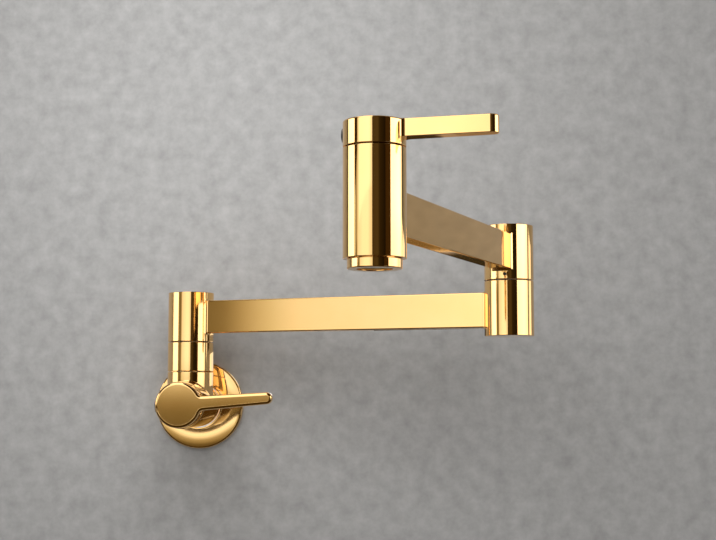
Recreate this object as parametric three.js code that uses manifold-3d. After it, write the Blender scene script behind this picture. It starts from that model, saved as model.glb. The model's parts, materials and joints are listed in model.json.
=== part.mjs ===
// A wall mounted pot filler: two valves, a riser and two swing arms.
// Millimetres, +Z up, the wall is the plane Y = 0 and the room is on the -Y side.
// The origin is where the axis of the wall valve meets the wall.

import * as THREE from 'three';
import { mergeVertices } from 'three/addons/utils/BufferGeometryUtils.js';
import ManifoldModule from 'manifold-3d';

const wasm = await ManifoldModule();
wasm.setup();

// ---------------------------------------------------------------- clearances

const fit = 0.3; // between pieces that touch on the real thing
const threadFit = 0.2; // round small screws and plugs
const seam = 0.5; // open joint line between stacked cylinders

// ------------------------------------------------------- driving dimensions

const columnDiameter = 31.2; // valve body, riser, elbow and spout column
const wallCapDiameter = 30; // the round end of the wall handle
const spoutCapDiameter = 31.2; // and of the spout handle, flush with its column
const edgeChamfer = 0.6; // on the ends of the round pieces

const riserStandoff = 50; // wall to the riser's axis
const bodyStandoff = 89.6; // wall to the front end of the valve body
const bodyInset = 5; // wall to the back end of the valve body, inside the flange
const stubHeight = 22.3; // valve axis to the top of the body's upright stub
const collarHeight = 19.7;
const riserHousingHeight = 33.7;

const armReach = 225; // axis to axis, the same on both arms
const barHeight = 22.4;
const barThickness = 11.5;
const barChamfer = 0.8;
const tenonShoulder = 2.2; // step from the bar to the tenon, all round
const tenonDepth = 2.4; // how far the tenon goes into a column
const tenonWall = 1.4; // leaves the water channel

const elbowHousingHeight = 34.7; // each half of the elbow
const elbowDrop = 16.7; // arm one's middle down to the elbow's bottom
const elbowFloor = 4; // metal under the bore of the lower half

const spoutColumnHeight = 54.1;
const spoutDrop = 25.2; // arm two's middle down to the spout column's bottom

const housingWall = 4.1; // round the swivel bore of the turning housings
const stubWall = 6.1; // round the threaded root of a swivel stem
const waistStep = 3; // swivel land down to waist
const stemWall = 2.7; // round the water bore of a swivel stem
const crownLength = 4.2; // upper land of a swivel stem
const crownRoom = 0.5; // free height over it
const swivelPortRadius = 3;
const stemCavity = 6.3; // free height under the riser's stem

const inletBore = 14; // through the nipple
const inletThread = 20.95; // G 1/2 outside diameter
const nippleGrip = 21.7; // length of the nipple inside the valve body
const nippleReach = 25; // length of the nipple behind the wall face
const nippleChamfer = 1.2;
const washerThickness = 1.8;
const screenThickness = 0.6;
const inletDuctRadius = 4;
const ductRadius = 1.9; // the outlet ducts at a cartridge seat
const ductCircle = 9; // radius that the outlet ducts stand on
const ductSpread = 38; // degrees from one duct to the next
const riserFloor = 6; // valve axis to the floor of the riser's bore

const flangeRadius = 31;
const flangeThickness = 6; // of the flat disc
const flangeRound = 1.4; // on the disc's front edge
const flangeWeb = 1.8; // the disc's own metal in front of its hollow
const flangeHeight = 13; // wall to the front of the neck
const flangeNeck = 17.4; // outer radius of the neck
const flangeBack = 6; // width of the flat ring that lies on the wall
const flangeHole = 0.4; // clearance round the valve body
const neckSealInset = 1.8; // the neck's front end to the middle of its seal
const gasketWidth = 1.8;
const gasketDepth = 1.6;

const chamberDepth = 27; // cartridge seat to the open end of its chamber
const chamberWall = 4.6;
const annulus = 1.8; // water way round the cartridge
const skirtWall = 1.2;
const cartridgeLift = 0.3; // the cartridge's foot off its seat
const sealHeight = 2.4;
const sealOverlap = 0.6; // seal's bore over the inlet duct
const discThickness = 3;
const footHeight = 3.3; // driver under the stem
const footWidth = 5;
const roofThickness = 1.3; // under the cartridge's collar
const cartridgeCollar = 4.3;
const neckWall = 1.9;
const neckRise = 5.4; // neck over the collar
const nutHeight = 7.2;
const nutSlot = 2;
const shaftDiameter = 9.2;
const splineDiameter = 8;
const splineLength = 10; // above the open end of the chamber
const splineFlat = 0.7;
const windowWidth = 5;
const portInner = 2.6; // inner radius of the ports in the ceramic discs
const portOuter = 6.4;
const portAngle = 70; // degrees

const handleHeight = 12.9;
const leverDepth = 9; // measured along the handle's axis
const leverReach = 61.5; // handle axis to the lever's tip
const leverRootHalf = 4.75;
const leverTipRadius = 3.9;
const leverFillet = 3;
const wallHandleEdge = 2; // rounding of the outer edge, cap and lever alike
const spoutHandleEdge = 0.9;
const socketRoom = 0.5; // over the end of the stem
const handleScrewLevel = 6.5; // above the handle's open end
const handleScrewRadius = 2;
const handleScrewLength = 5.8;
const plugRadius = 4;
const plugDepth = 2.4; // set into the cap
const plugProud = 0.7;
const plugRound = 0.3;

const swivelScrewLevel = 3.1; // above the turning housing's lower end
const swivelScrewRadius = 0.9;
const swivelScrewSunk = 0.6; // below the surface
const screwGrooveDepth = 1.2;
const glideWidth = 1.9;
const glideThickness = 1.2;

const sealSection = 1.1; // thickness of an O-ring
const sealLand = 0.5; // metal beside an O-ring's groove

const nozzleRadius = 13.5;
const nozzleHeight = 5; // below the spout column
const nozzleThread = 24; // M24 x 1 aerator thread
const nozzleNeck = 5.8; // length of the thread
const nozzleWall = 1.8;
const nozzleLip = 1.3;
const nozzleLipHeight = 1.2;
const aeratorHeight = 5.6;
const aeratorCell = 2.6; // from cell to cell
const aeratorHole = 1; // cell radius
const aeratorRings = 2; // rings of cells round the middle one
const screenCell = 4.4; // the same on the two steel screens
const screenHole = 1.7;
const screenRings = 1;
const galleryHeight = 7.5; // outlet space over the aerator
const gallerySeat = 2.5; // width of the seat under the gallery
const spoutInletRise = 20.5; // spout column's bottom up to the inlet bore
const spoutInletRadius = 3.2;

// ------------------------------------------------------------ rest position

const armOneTurn = -18.6; // degrees from parallel with the wall
const armTwoTurn = -92.4; // degrees from straight on
const spoutHandleTurn = 96.7; // degrees from arm two's direction
const wallHandleTurn = 4.3; // degrees from level
const elbowScrewTurn = 7; // degrees from arm two's direction
const riserScrewTurn = 110; // on the hidden side of the riser

// -------------------------------------------------------------- derived sizes

const columnRadius = columnDiameter / 2;

// What differs between the two handles.
const handleForms = {
  wall: { capRadius: wallCapDiameter / 2, edge: wallHandleEdge },
  spout: { capRadius: spoutCapDiameter / 2, edge: spoutHandleEdge },
};

const collarBottom = stubHeight + seam;
const collarTop = collarBottom + collarHeight;
const riserHousingBottom = collarTop + seam;
const armOneLevel = riserHousingBottom + riserHousingHeight / 2;
const elbowBottom = armOneLevel - elbowDrop;
const elbowSeam = elbowBottom + elbowHousingHeight;
const elbowUpperBottom = elbowSeam + seam;
const armTwoLevel = elbowUpperBottom + elbowHousingHeight / 2;
const spoutBottom = armTwoLevel - spoutDrop;

const swivelBore = columnRadius - housingWall;
const rootBore = columnRadius - stubWall;
const landRadius = swivelBore - fit;
const waistRadius = landRadius - waistStep;
const stemBore = waistRadius - stemWall;

const tenonHeight = barHeight - 2 * tenonShoulder;
const tenonThickness = barThickness - 2 * tenonShoulder;
const channelHeight = tenonHeight - 2 * tenonWall;
const channelThickness = tenonThickness - 2 * tenonWall;
const pocketHeight = tenonHeight + 2 * fit;
const pocketThickness = tenonThickness + 2 * fit;
const waistHalf = pocketHeight / 2 + threadFit;

const chamberRadius = columnRadius - chamberWall;
const skirtRadius = chamberRadius - annulus;
const skirtBore = skirtRadius - skirtWall;
const discRadius = skirtBore - fit;
const shaftRadius = shaftDiameter / 2;
const neckBore = shaftRadius + fit;
const neckRadius = neckBore + neckWall;
const sealBottom = fit;
const fixedDiscBottom = sealBottom + sealHeight + fit;
const movingDiscBottom = fixedDiscBottom + discThickness + fit;
const footBottom = movingDiscBottom + discThickness + fit;
const footTop = footBottom + footHeight;
const skirtTop = footTop + fit;
const cartridgeCollarBottom = skirtTop + roofThickness;
const cartridgeCollarTop = cartridgeCollarBottom + cartridgeCollar;
const neckTop = cartridgeCollarTop + neckRise;
const nutBottom = cartridgeCollarTop + fit;
const stemTop = chamberDepth + splineLength;
const handleBottom = chamberDepth + seam;
const handleTop = handleBottom + handleHeight;

const round = 36; // sides of the large cylinders
const inside = 18; // sides of bores and inner pieces
const small = 10; // sides of screws and ducts
const sealTurns = 16; // sides of an O-ring seen along its axis
const sealSides = 4; // of its section
const edgeSteps = 3; // round the outer edges of the flange and the handles
const ninety = 90;
const halfTurn = 180;
const fullTurn = 360;
const radians = Math.PI / halfTurn;
const leverSteps = 4; // on each root fillet, and half the steps round the tip
const hexSides = 6;
const cutThrough = 1; // how far a cutting body runs past the face it opens
const weldDistance = 1e-5; // points of one shape nearer than this are one point

// ------------------------------------------------------------------ helpers

// The closed solid of a geometry, with its faces pointing out.
function solidOf(geometry) {
  geometry.deleteAttribute('normal');
  geometry.deleteAttribute('uv');
  const merged = mergeVertices(geometry, weldDistance);
  const positions = merged.attributes.position.array;
  const index = merged.index.array;
  const kept = [];
  let volume = 0;
  for (let i = 0; i < index.length; i += 3) {
    const [a, b, c] = [index[i], index[i + 1], index[i + 2]];
    if (a === b || b === c || c === a) continue;
    kept.push(a, b, c);
    volume += tripleProduct(positions, a, b, c);
  }
  if (volume < 0) {
    kept.reverse();
  }
  return new wasm.Manifold(new wasm.Mesh({
    numProp: 3,
    vertProperties: new Float32Array(positions),
    triVerts: new Uint32Array(kept),
  }));
}

// Six times the signed volume between a face and the origin.
function tripleProduct(positions, a, b, c) {
  const [p, q, r] = [a, b, c].map((i) => new THREE.Vector3().fromArray(positions, 3 * i));
  return p.dot(q.cross(r));
}

// A solid of revolution about Z from [radius, z] points.
function turned(points, sides = inside) {
  const outline = points.map(([radius, z]) => new THREE.Vector2(radius, z));
  const last = outline[outline.length - 1];
  if (outline[0].x > 0 || last.x > 0) {
    outline.push(outline[0].clone());
  }
  const geometry = new THREE.LatheGeometry(outline, sides);
  geometry.rotateX(Math.PI / 2);
  return solidOf(geometry);
}

// A plain rod about Z.
function rod(radius, low, high, sides = inside) {
  return turned([[0, low], [radius, low], [radius, high], [0, high]], sides);
}

// A rod about Z with a chamfer on each end.
function chamferedRod(radius, low, high, sides, lowChamfer, highChamfer) {
  return turned([
    [0, low],
    [radius - lowChamfer, low],
    [radius, low + lowChamfer],
    [radius, high - highChamfer],
    [radius - highChamfer, high],
    [0, high],
  ], sides);
}

function ring(inner, outer, low, high, sides = inside) {
  return turned([[inner, low], [outer, low], [outer, high], [inner, high]], sides);
}

function block([x0, x1], [y0, y1], [z0, z1]) {
  const geometry = new THREE.BoxGeometry(x1 - x0, y1 - y0, z1 - z0);
  geometry.translate((x0 + x1) / 2, (y0 + y1) / 2, (z0 + z1) / 2);
  return solidOf(geometry);
}

// A rod from the Z axis outward at a turn and a level.
function spoke(radius, from, to, turn, level, sides = small) {
  return rod(radius, from, to, sides).rotate([0, ninety, 0]).rotate([0, 0, turn])
    .translate([0, 0, level]);
}

function cut(solid, ...tools) {
  return tools.reduce((left, tool) => left.subtract(tool), solid);
}

function joined(...solids) {
  return solids.reduce((left, right) => left.add(right));
}

// An O-ring about Z, for a groove between two radii.
function sealRing(grooveRadius, boreRadius, level, sides = sealTurns) {
  const middle = (grooveRadius + boreRadius) / 2;
  const section = [];
  for (let k = 0; k < sealSides; k += 1) {
    const angle = (fullTurn / sealSides) * k * radians;
    section.push([
      middle + (sealSection / 2) * Math.cos(angle),
      level + (sealSection / 2) * Math.sin(angle),
    ]);
  }
  return turned(section, sides);
}

function sealGroove(boreRadius) {
  return boreRadius - sealSection - 2 * fit;
}

const grooveHalf = sealSection / 2 + fit;

// ---------------------------------------------------------------- materials

const finish = {
  gold: { color: 0xe2b35c, roughness: 0.12, metalness: 1 },
  rawBrass: { color: 0xb89552, roughness: 0.4, metalness: 1 },
  steel: { color: 0xb9bbbd, roughness: 0.35, metalness: 1 },
  rubber: { color: 0x1c1c1e, roughness: 0.8, metalness: 0 },
  ceramic: { color: 0xe9e4da, roughness: 0.25, metalness: 0 },
  nylon: { color: 0xd9d7cf, roughness: 0.5, metalness: 0 },
  plug: { color: 0x4a4a48, roughness: 0.45, metalness: 0 },
};

function piece(name, solid, look) {
  const source = solid.getMesh();
  const geometry = new THREE.BufferGeometry();
  geometry.setAttribute('position', new THREE.BufferAttribute(source.vertProperties, 3));
  geometry.setIndex(new THREE.BufferAttribute(source.triVerts, 1));
  const mesh = new THREE.Mesh(geometry, new THREE.MeshStandardMaterial(finish[look]));
  mesh.name = name;
  return mesh;
}

function group(position, turn, ...children) {
  const holder = new THREE.Group();
  holder.position.set(...position);
  holder.rotation.set(0, 0, turn * radians);
  holder.add(...children);
  return holder;
}

// ------------------------------------------------------- wall side, fixed

// The outlet ducts of a cartridge seat, as rods that run from z = low to z = high.
function outletDucts(low, high, firstTurn) {
  const ducts = [-1, 0, 1].map((place) => {
    const angle = (firstTurn + place * ductSpread) * radians;
    return rod(ductRadius, low, high, small)
      .translate([ductCircle * Math.cos(angle), ductCircle * Math.sin(angle), 0]);
  });
  return joined(...ducts);
}

// Turns a solid made along +Z so that it points out of the wall, with its local Y up.
function outOfWall(solid, standoff) {
  return solid.rotate([ninety, 0, 0]).translate([0, -standoff, 0]);
}

const seatStandoff = bodyStandoff - chamberDepth;
const nippleRadius = inletThread / 2;
const nippleEnd = bodyInset + nippleGrip - washerThickness - screenThickness - 3 * fit;
const inletBottom = bodyInset + nippleGrip;
const flangeSealStandoff = flangeHeight - neckSealInset;
const flangeBore = columnRadius + flangeHole;

function valveBody() {
  const barrel = outOfWall(chamferedRod(
    columnRadius, bodyInset, bodyStandoff, round, edgeChamfer, edgeChamfer,
  ), 0);
  const stub = chamferedRod(columnRadius, 0, stubHeight, round, 0, edgeChamfer)
    .translate([0, -riserStandoff, 0]);
  const riserBore = rod(rootBore, riserFloor, stubHeight + cutThrough)
    .translate([0, -riserStandoff, 0]);
  const inlet = outOfWall(rod(nippleRadius + fit, bodyInset - cutThrough, inletBottom), 0);
  const duct = outOfWall(rod(inletDuctRadius, inletBottom - cutThrough, seatStandoff
    + cutThrough, small), 0);
  const chamber = outOfWall(rod(chamberRadius, seatStandoff, bodyStandoff + cutThrough), 0);
  const outlets = outOfWall(outletDucts(riserStandoff, seatStandoff + cutThrough, ninety), 0);
  const groove = outOfWall(ring(
    sealGroove(flangeBore), columnRadius + cutThrough,
    flangeSealStandoff - grooveHalf, flangeSealStandoff + grooveHalf, round,
  ), 0);
  return cut(joined(barrel, stub), riserBore, inlet, duct, chamber, outlets, groove);
}

// [radius, z] points of a rounded outer edge, from the side of a turned piece to its top.
function roundedEdge(radius, top, edge) {
  const points = [];
  for (let k = 0; k <= edgeSteps; k += 1) {
    const angle = (k / edgeSteps) * (Math.PI / 2);
    points.push([
      radius - edge + edge * Math.cos(angle),
      top - edge + edge * Math.sin(angle),
    ]);
  }
  return points;
}

const gasketMiddle = flangeRadius - flangeBack / 2;
const gasketInner = gasketMiddle - gasketWidth / 2;
const gasketOuter = gasketMiddle + gasketWidth / 2;

function wallFlange() {
  const hollowRadius = flangeRadius - flangeBack;
  const hollowDepth = flangeThickness - flangeWeb;
  return outOfWall(turned([
    [gasketOuter + fit, gasketDepth],
    [gasketOuter + fit, 0],
    [flangeRadius, 0],
    ...roundedEdge(flangeRadius, flangeThickness, flangeRound),
    [flangeNeck, flangeThickness],
    [flangeNeck, flangeHeight],
    [flangeBore, flangeHeight],
    [flangeBore, hollowDepth],
    [hollowRadius, hollowDepth],
    [hollowRadius, 0],
    [gasketInner - fit, 0],
    [gasketInner - fit, gasketDepth],
  ], round), 0);
}

function flangeGasket() {
  return outOfWall(ring(gasketInner, gasketOuter, 0, gasketDepth - fit, round), 0);
}

function flangeSeal() {
  return outOfWall(sealRing(sealGroove(flangeBore), flangeBore, flangeSealStandoff, inside), 0);
}

function inletNipple() {
  return outOfWall(turned([
    [inletBore / 2, -nippleReach],
    [nippleRadius - nippleChamfer, -nippleReach],
    [nippleRadius, nippleChamfer - nippleReach],
    [nippleRadius, nippleEnd - nippleChamfer],
    [nippleRadius - nippleChamfer, nippleEnd],
    [inletBore / 2, nippleEnd],
  ]), 0);
}

const screenStandoff = nippleEnd + fit;
const washerStandoff = screenStandoff + screenThickness + fit;

// A disc with rings of round holes, about Z.
function perforatedDisc(radius, low, high, pitch, holeRadius, rings, sides) {
  const holes = [rod(holeRadius, low - cutThrough, high + cutThrough, sides)];
  for (let k = 1; k <= rings; k += 1) {
    for (let n = 0; n < hexSides * k; n += 1) {
      const angle = ((fullTurn / (hexSides * k)) * n) * radians;
      holes.push(rod(holeRadius, low - cutThrough, high + cutThrough, sides)
        .translate([k * pitch * Math.cos(angle), k * pitch * Math.sin(angle), 0]));
    }
  }
  return cut(rod(radius, low, high), ...holes);
}

function inletScreen() {
  return outOfWall(perforatedDisc(
    nippleRadius, screenStandoff, screenStandoff + screenThickness,
    screenCell, screenHole, screenRings, hexSides,
  ), 0);
}

function inletWasher() {
  return outOfWall(ring(
    inletBore / 2, nippleRadius, washerStandoff, washerStandoff + washerThickness,
  ), 0);
}

// ---------------------------------------------------------- swivel joints

// A hollow stem about Z: a threaded root, a shoulder, two sealed lands and a ported waist.
function swivelStem({ foot, shoulder, level, screwLevel }) {
  const waistLow = level - waistHalf;
  const waistHigh = level + waistHalf;
  const crown = waistHigh + crownLength;
  const rootRadius = rootBore - fit;
  const body = turned([
    [0, foot],
    [rootRadius, foot],
    [rootRadius, shoulder],
    [landRadius, shoulder],
    [landRadius, waistLow],
    [waistRadius, waistLow],
    [waistRadius, waistHigh],
    [landRadius, waistHigh],
    [landRadius, crown],
    [0, crown],
  ]);
  const bore = rod(stemBore, foot - cutThrough, waistHigh);
  const ports = [0, ninety].map((turn) => spoke(
    swivelPortRadius, -landRadius, landRadius, turn, level,
  ));
  const grooves = [lowerSealLevel(level), upperSealLevel(level)].map((at) => ring(
    sealGroove(swivelBore), landRadius + cutThrough, at - grooveHalf, at + grooveHalf,
  ));
  const screwHalf = swivelScrewRadius + fit;
  const screwGroove = ring(
    landRadius - screwGrooveDepth, landRadius + cutThrough,
    screwLevel - screwHalf, screwLevel + screwHalf,
  );
  return cut(body, bore, ...ports, ...grooves, screwGroove);
}

function lowerSealLevel(level) {
  return level - waistHalf - sealLand - grooveHalf;
}

function upperSealLevel(level) {
  return level + waistHalf + crownLength / 2;
}

function swivelSeal(level) {
  return sealRing(sealGroove(swivelBore), swivelBore, level);
}

// The pocket that a bar's tenon goes into, on the side that a turn points to.
function tenonPocket(turn, level, innerRadius) {
  return block(
    [innerRadius, columnRadius + cutThrough],
    [-pocketThickness / 2, pocketThickness / 2],
    [level - pocketHeight / 2, level + pocketHeight / 2],
  ).rotate([0, 0, turn]);
}

// A housing that turns on a stem: closed on top, bored from below.
function turningHousing({ bottom, height, level, barTurn, screwTurn }) {
  const body = chamferedRod(
    columnRadius, bottom, bottom + height, round, edgeChamfer, edgeChamfer,
  );
  const ceiling = level + waistHalf + crownLength + crownRoom;
  const bore = rod(swivelBore, bottom - cutThrough, ceiling);
  const glideSeat = rod(
    swivelBore + glideWidth + 2 * threadFit, bottom - cutThrough, bottom + glideThickness,
  );
  const screwHole = spoke(
    swivelScrewRadius + threadFit, swivelBore - cutThrough, columnRadius + cutThrough,
    screwTurn, bottom + swivelScrewLevel,
  );
  return cut(body, bore, glideSeat, screwHole, tenonPocket(barTurn, level, 0));
}

function glideRing(bottom) {
  const inner = swivelBore + threadFit;
  return ring(inner, inner + glideWidth, bottom - seam + fit, bottom + glideThickness - fit);
}

function swivelScrew(turn, bottom) {
  const tip = landRadius - screwGrooveDepth + fit;
  const head = columnRadius - swivelScrewSunk;
  const screw = spoke(swivelScrewRadius, tip, head, turn, bottom + swivelScrewLevel);
  const drive = spoke(
    swivelScrewRadius / 2, head - swivelScrewRadius, head + cutThrough, turn,
    bottom + swivelScrewLevel, hexSides,
  );
  return cut(screw, drive);
}

function riserCollar() {
  return cut(
    chamferedRod(columnRadius, collarBottom, collarTop, round, edgeChamfer, edgeChamfer),
    rod(rootBore, collarBottom - cutThrough, collarTop + cutThrough),
  );
}

function elbowLowerHousing() {
  const body = chamferedRod(
    columnRadius, elbowBottom, elbowSeam, round, edgeChamfer, edgeChamfer,
  );
  const bore = rod(rootBore, elbowBottom + elbowFloor, elbowSeam + cutThrough);
  return cut(body, bore, tenonPocket(halfTurn, armOneLevel, 0));
}

// ------------------------------------------------------------------- arms

// A hollow flat bar along +X from one column's axis to the next, with a tenon at each end.
function armBar(level) {
  const half = barThickness / 2;
  const outline = new THREE.Shape();
  outline.moveTo(-half + barChamfer, -barHeight / 2);
  outline.lineTo(half - barChamfer, -barHeight / 2);
  outline.lineTo(half, -barHeight / 2 + barChamfer);
  outline.lineTo(half, barHeight / 2 - barChamfer);
  outline.lineTo(half - barChamfer, barHeight / 2);
  outline.lineTo(-half + barChamfer, barHeight / 2);
  outline.lineTo(-half, barHeight / 2 - barChamfer);
  outline.lineTo(-half, -barHeight / 2 + barChamfer);
  outline.closePath();
  const geometry = new THREE.ExtrudeGeometry(outline, { depth: armReach, bevelEnabled: false });
  const stock = solidOf(geometry).rotate([0, 0, ninety]).rotate([0, ninety, 0])
    .translate([0, 0, level]);
  const columns = [0, armReach].map((x) => rod(
    columnRadius + fit, level - barHeight, level + barHeight, round,
  ).translate([x, 0, 0]));
  const tenonEnd = columnRadius - tenonDepth + fit;
  const tenon = block(
    [tenonEnd, armReach - tenonEnd],
    [-tenonThickness / 2, tenonThickness / 2],
    [level - tenonHeight / 2, level + tenonHeight / 2],
  );
  const channel = block(
    [0, armReach],
    [-channelThickness / 2, channelThickness / 2],
    [level - channelHeight / 2, level + channelHeight / 2],
  );
  return cut(joined(cut(stock, ...columns), tenon), channel);
}

// ------------------------------------------------------ valve cartridges

// The two ports of a ceramic disc, as solids to cut with.
function discPorts(low, high) {
  const ports = [0, halfTurn].map((turn) => {
    const from = (turn - portAngle / 2) * radians;
    const to = (turn + portAngle / 2) * radians;
    const outline = new THREE.Shape();
    outline.absarc(0, 0, portOuter, from, to, false);
    outline.absarc(0, 0, portInner, to, from, true);
    outline.closePath();
    const geometry = new THREE.ExtrudeGeometry(outline, {
      depth: high - low, bevelEnabled: false, curveSegments: sealSides,
    });
    geometry.translate(0, 0, low);
    return solidOf(geometry);
  });
  return joined(...ports);
}

function ceramicDisc(bottom) {
  const top = bottom + discThickness;
  return cut(rod(discRadius, bottom, top), discPorts(bottom - cutThrough, top + cutThrough));
}

function seatSeal() {
  return ring(inletDuctRadius + sealOverlap, discRadius, sealBottom, sealBottom + sealHeight);
}

const cartridgeSealLevel = (cartridgeCollarBottom + cartridgeCollarTop) / 2;
const stemSealLevel = cartridgeSealLevel + cartridgeCollar / 2;

function cartridgeBody() {
  const collarRadius = chamberRadius - fit;
  const body = turned([
    [skirtBore, cartridgeLift],
    [skirtRadius, cartridgeLift],
    [skirtRadius, cartridgeCollarBottom],
    [collarRadius, cartridgeCollarBottom],
    [collarRadius, cartridgeCollarTop],
    [neckRadius, cartridgeCollarTop],
    [neckRadius, neckTop],
    [neckBore, neckTop],
    [neckBore, skirtTop],
    [skirtBore, skirtTop],
  ]);
  const groove = ring(
    sealGroove(chamberRadius), chamberRadius + cutThrough,
    cartridgeSealLevel - grooveHalf, cartridgeSealLevel + grooveHalf,
  );
  const windows = [0, ninety].map((turn) => block(
    [-chamberRadius, chamberRadius],
    [-windowWidth / 2, windowWidth / 2],
    [footBottom, footTop],
  ).rotate([0, 0, turn]));
  return cut(body, groove, ...windows);
}

function cartridgeSeal() {
  return sealRing(sealGroove(chamberRadius), chamberRadius, cartridgeSealLevel);
}

function retainingNut() {
  const top = nutBottom + nutHeight;
  const nut = ring(neckRadius + fit, chamberRadius - fit, nutBottom, top);
  const slots = [0, ninety].map((turn) => block(
    [-chamberRadius, chamberRadius],
    [-nutSlot / 2, nutSlot / 2],
    [top - nutSlot, top + cutThrough],
  ).rotate([0, 0, turn]));
  return cut(nut, ...slots);
}

// The stem that the handle turns: driver foot, sealed shaft and a flatted end.
function valveStem() {
  const foot = rod(discRadius, footBottom, footTop).intersect(block(
    [-footWidth / 2, footWidth / 2],
    [-discRadius, discRadius],
    [footBottom, footTop],
  ));
  const shaft = rod(shaftRadius, footTop - fit, chamberDepth);
  const end = rod(splineDiameter / 2, chamberDepth - fit, stemTop);
  const groove = ring(
    sealGroove(neckBore), shaftRadius + cutThrough,
    stemSealLevel - grooveHalf, stemSealLevel + grooveHalf,
  );
  const flat = block(
    [-splineDiameter, splineFlat - splineDiameter / 2],
    [-splineDiameter, splineDiameter],
    [handleBottom, stemTop + cutThrough],
  );
  return cut(joined(foot, shaft, end), groove, flat);
}

function stemSeal() {
  return sealRing(sealGroove(neckBore), neckBore, stemSealLevel);
}

// ------------------------------------------------------------------ handles

// Points on an arc, both ends taken in.
function arcPoints(x, y, radius, from, to, steps) {
  const points = [];
  for (let k = 0; k <= steps; k += 1) {
    const angle = from + ((to - from) * k) / steps;
    points.push(new THREE.Vector2(x + radius * Math.cos(angle), y + radius * Math.sin(angle)));
  }
  return points;
}

// The lever's outline seen along the handle's axis: from inside the cap out along two root
// fillets to a tapered blade with a round tip along +X.
function leverOutline(capRadius) {
  const tipCentre = leverReach - leverTipRadius;
  const slope = (leverTipRadius - leverRootHalf) / (tipCentre - capRadius);
  const lift = leverTipRadius - slope * tipCentre + leverFillet * Math.hypot(1, slope);
  const across = 1 + slope * slope;
  const reach = capRadius + leverFillet;
  const under = (slope * lift) ** 2 - across * (lift * lift - reach * reach);
  const x = (-slope * lift + Math.sqrt(under)) / across;
  const y = slope * x + lift;
  const capAngle = Math.atan2(y, x);
  const edgeAngle = Math.atan(slope) + Math.PI / 2;
  const inner = new THREE.Vector2(x, y).setLength(capRadius - leverRootHalf);
  return new THREE.Shape([
    new THREE.Vector2(inner.x, -inner.y),
    ...arcPoints(x, -y, leverFillet, Math.PI - capAngle, edgeAngle, leverSteps),
    ...arcPoints(tipCentre, 0, leverTipRadius, -edgeAngle, edgeAngle, 2 * leverSteps),
    ...arcPoints(x, y, leverFillet, -edgeAngle, capAngle - Math.PI, leverSteps),
    inner,
  ]);
}

// The lever's blade, rounded on its outer edge and sharp on its inner one.
function leverBlade({ capRadius, edge }) {
  const geometry = new THREE.ExtrudeGeometry(leverOutline(capRadius), {
    depth: leverDepth,
    bevelThickness: edge,
    bevelSize: edge,
    bevelOffset: -edge,
    bevelSegments: edgeSteps,
  });
  geometry.translate(0, 0, handleTop - edge - leverDepth);
  return solidOf(geometry).trimByPlane([0, 0, 1], handleTop - leverDepth);
}

function handle({ capRadius, edge }) {
  const cap = turned([
    [0, handleBottom],
    [capRadius - edgeChamfer, handleBottom],
    [capRadius, handleBottom + edgeChamfer],
    ...roundedEdge(capRadius, handleTop, edge),
    [0, handleTop],
  ], round);
  const socket = rod(
    splineDiameter / 2 + fit, handleBottom - cutThrough, stemTop + socketRoom,
  );
  const level = handleBottom + handleScrewLevel;
  const screwHole = spoke(
    handleScrewRadius + threadFit, 0, capRadius, halfTurn, level,
  );
  const plugSeat = spoke(
    plugRadius + threadFit, capRadius - plugDepth, capRadius + cutThrough,
    halfTurn, level, inside,
  );
  return cut(joined(cap, leverBlade({ capRadius, edge })), socket, screwHole, plugSeat);
}

function handleScrew() {
  const tip = splineDiameter / 2 - splineFlat + fit;
  const level = handleBottom + handleScrewLevel;
  const screw = spoke(handleScrewRadius, tip, tip + handleScrewLength, halfTurn, level);
  const drive = spoke(
    handleScrewRadius / 2, tip + handleScrewLength - handleScrewRadius,
    tip + handleScrewLength + cutThrough, halfTurn, level, hexSides,
  );
  return cut(screw, drive);
}

function handlePlug({ capRadius }) {
  const inner = capRadius - plugDepth + threadFit;
  const outer = capRadius + plugProud;
  return turned([
    [0, inner],
    [plugRadius, inner],
    [plugRadius, outer - plugRound],
    [plugRadius - plugRound, outer],
    [0, outer],
  ]).rotate([0, -ninety, 0]).translate([0, 0, handleBottom + handleScrewLevel]);
}

// ------------------------------------------------------------ spout column

const spoutTop = spoutBottom + spoutColumnHeight;
const spoutSeat = spoutTop - chamberDepth;
const nozzleThreadRadius = nozzleThread / 2;
const nozzleBore = nozzleThreadRadius + fit;
const nozzleShoulder = spoutBottom - fit;
const nozzleFoot = nozzleShoulder - nozzleHeight + fit;
const nozzleTop = nozzleShoulder + nozzleNeck;
const aeratorRadius = nozzleThreadRadius - nozzleWall - fit;
const aeratorBottom = nozzleFoot + nozzleLipHeight + fit;
const aeratorScreenBottom = aeratorBottom + aeratorHeight + fit;
const aeratorWasherBottom = nozzleTop + fit;
const aeratorSeat = aeratorWasherBottom + washerThickness + fit;

function spoutColumn() {
  const body = chamferedRod(columnRadius, spoutBottom, spoutTop, round, edgeChamfer, edgeChamfer);
  const chamber = rod(chamberRadius, spoutSeat, spoutTop + cutThrough);
  const inletLevel = spoutBottom + spoutInletRise;
  const inletBoreAcross = spoke(
    spoutInletRadius, 0, columnRadius, halfTurn, inletLevel,
  );
  const inletUp = rod(inletDuctRadius, inletLevel, spoutSeat + cutThrough, small);
  const threadBore = rod(nozzleBore, spoutBottom - cutThrough, aeratorSeat);
  const galleryTop = aeratorSeat + galleryHeight;
  const gallery = rod(nozzleBore - gallerySeat, aeratorSeat - cutThrough, galleryTop);
  const outlets = outletDucts(galleryTop - cutThrough, spoutSeat + cutThrough, 0);
  const pocket = tenonPocket(halfTurn, armTwoLevel, columnRadius - tenonDepth);
  return cut(
    body, chamber, inletBoreAcross, inletUp, threadBore, gallery, outlets, pocket,
  );
}

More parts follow.
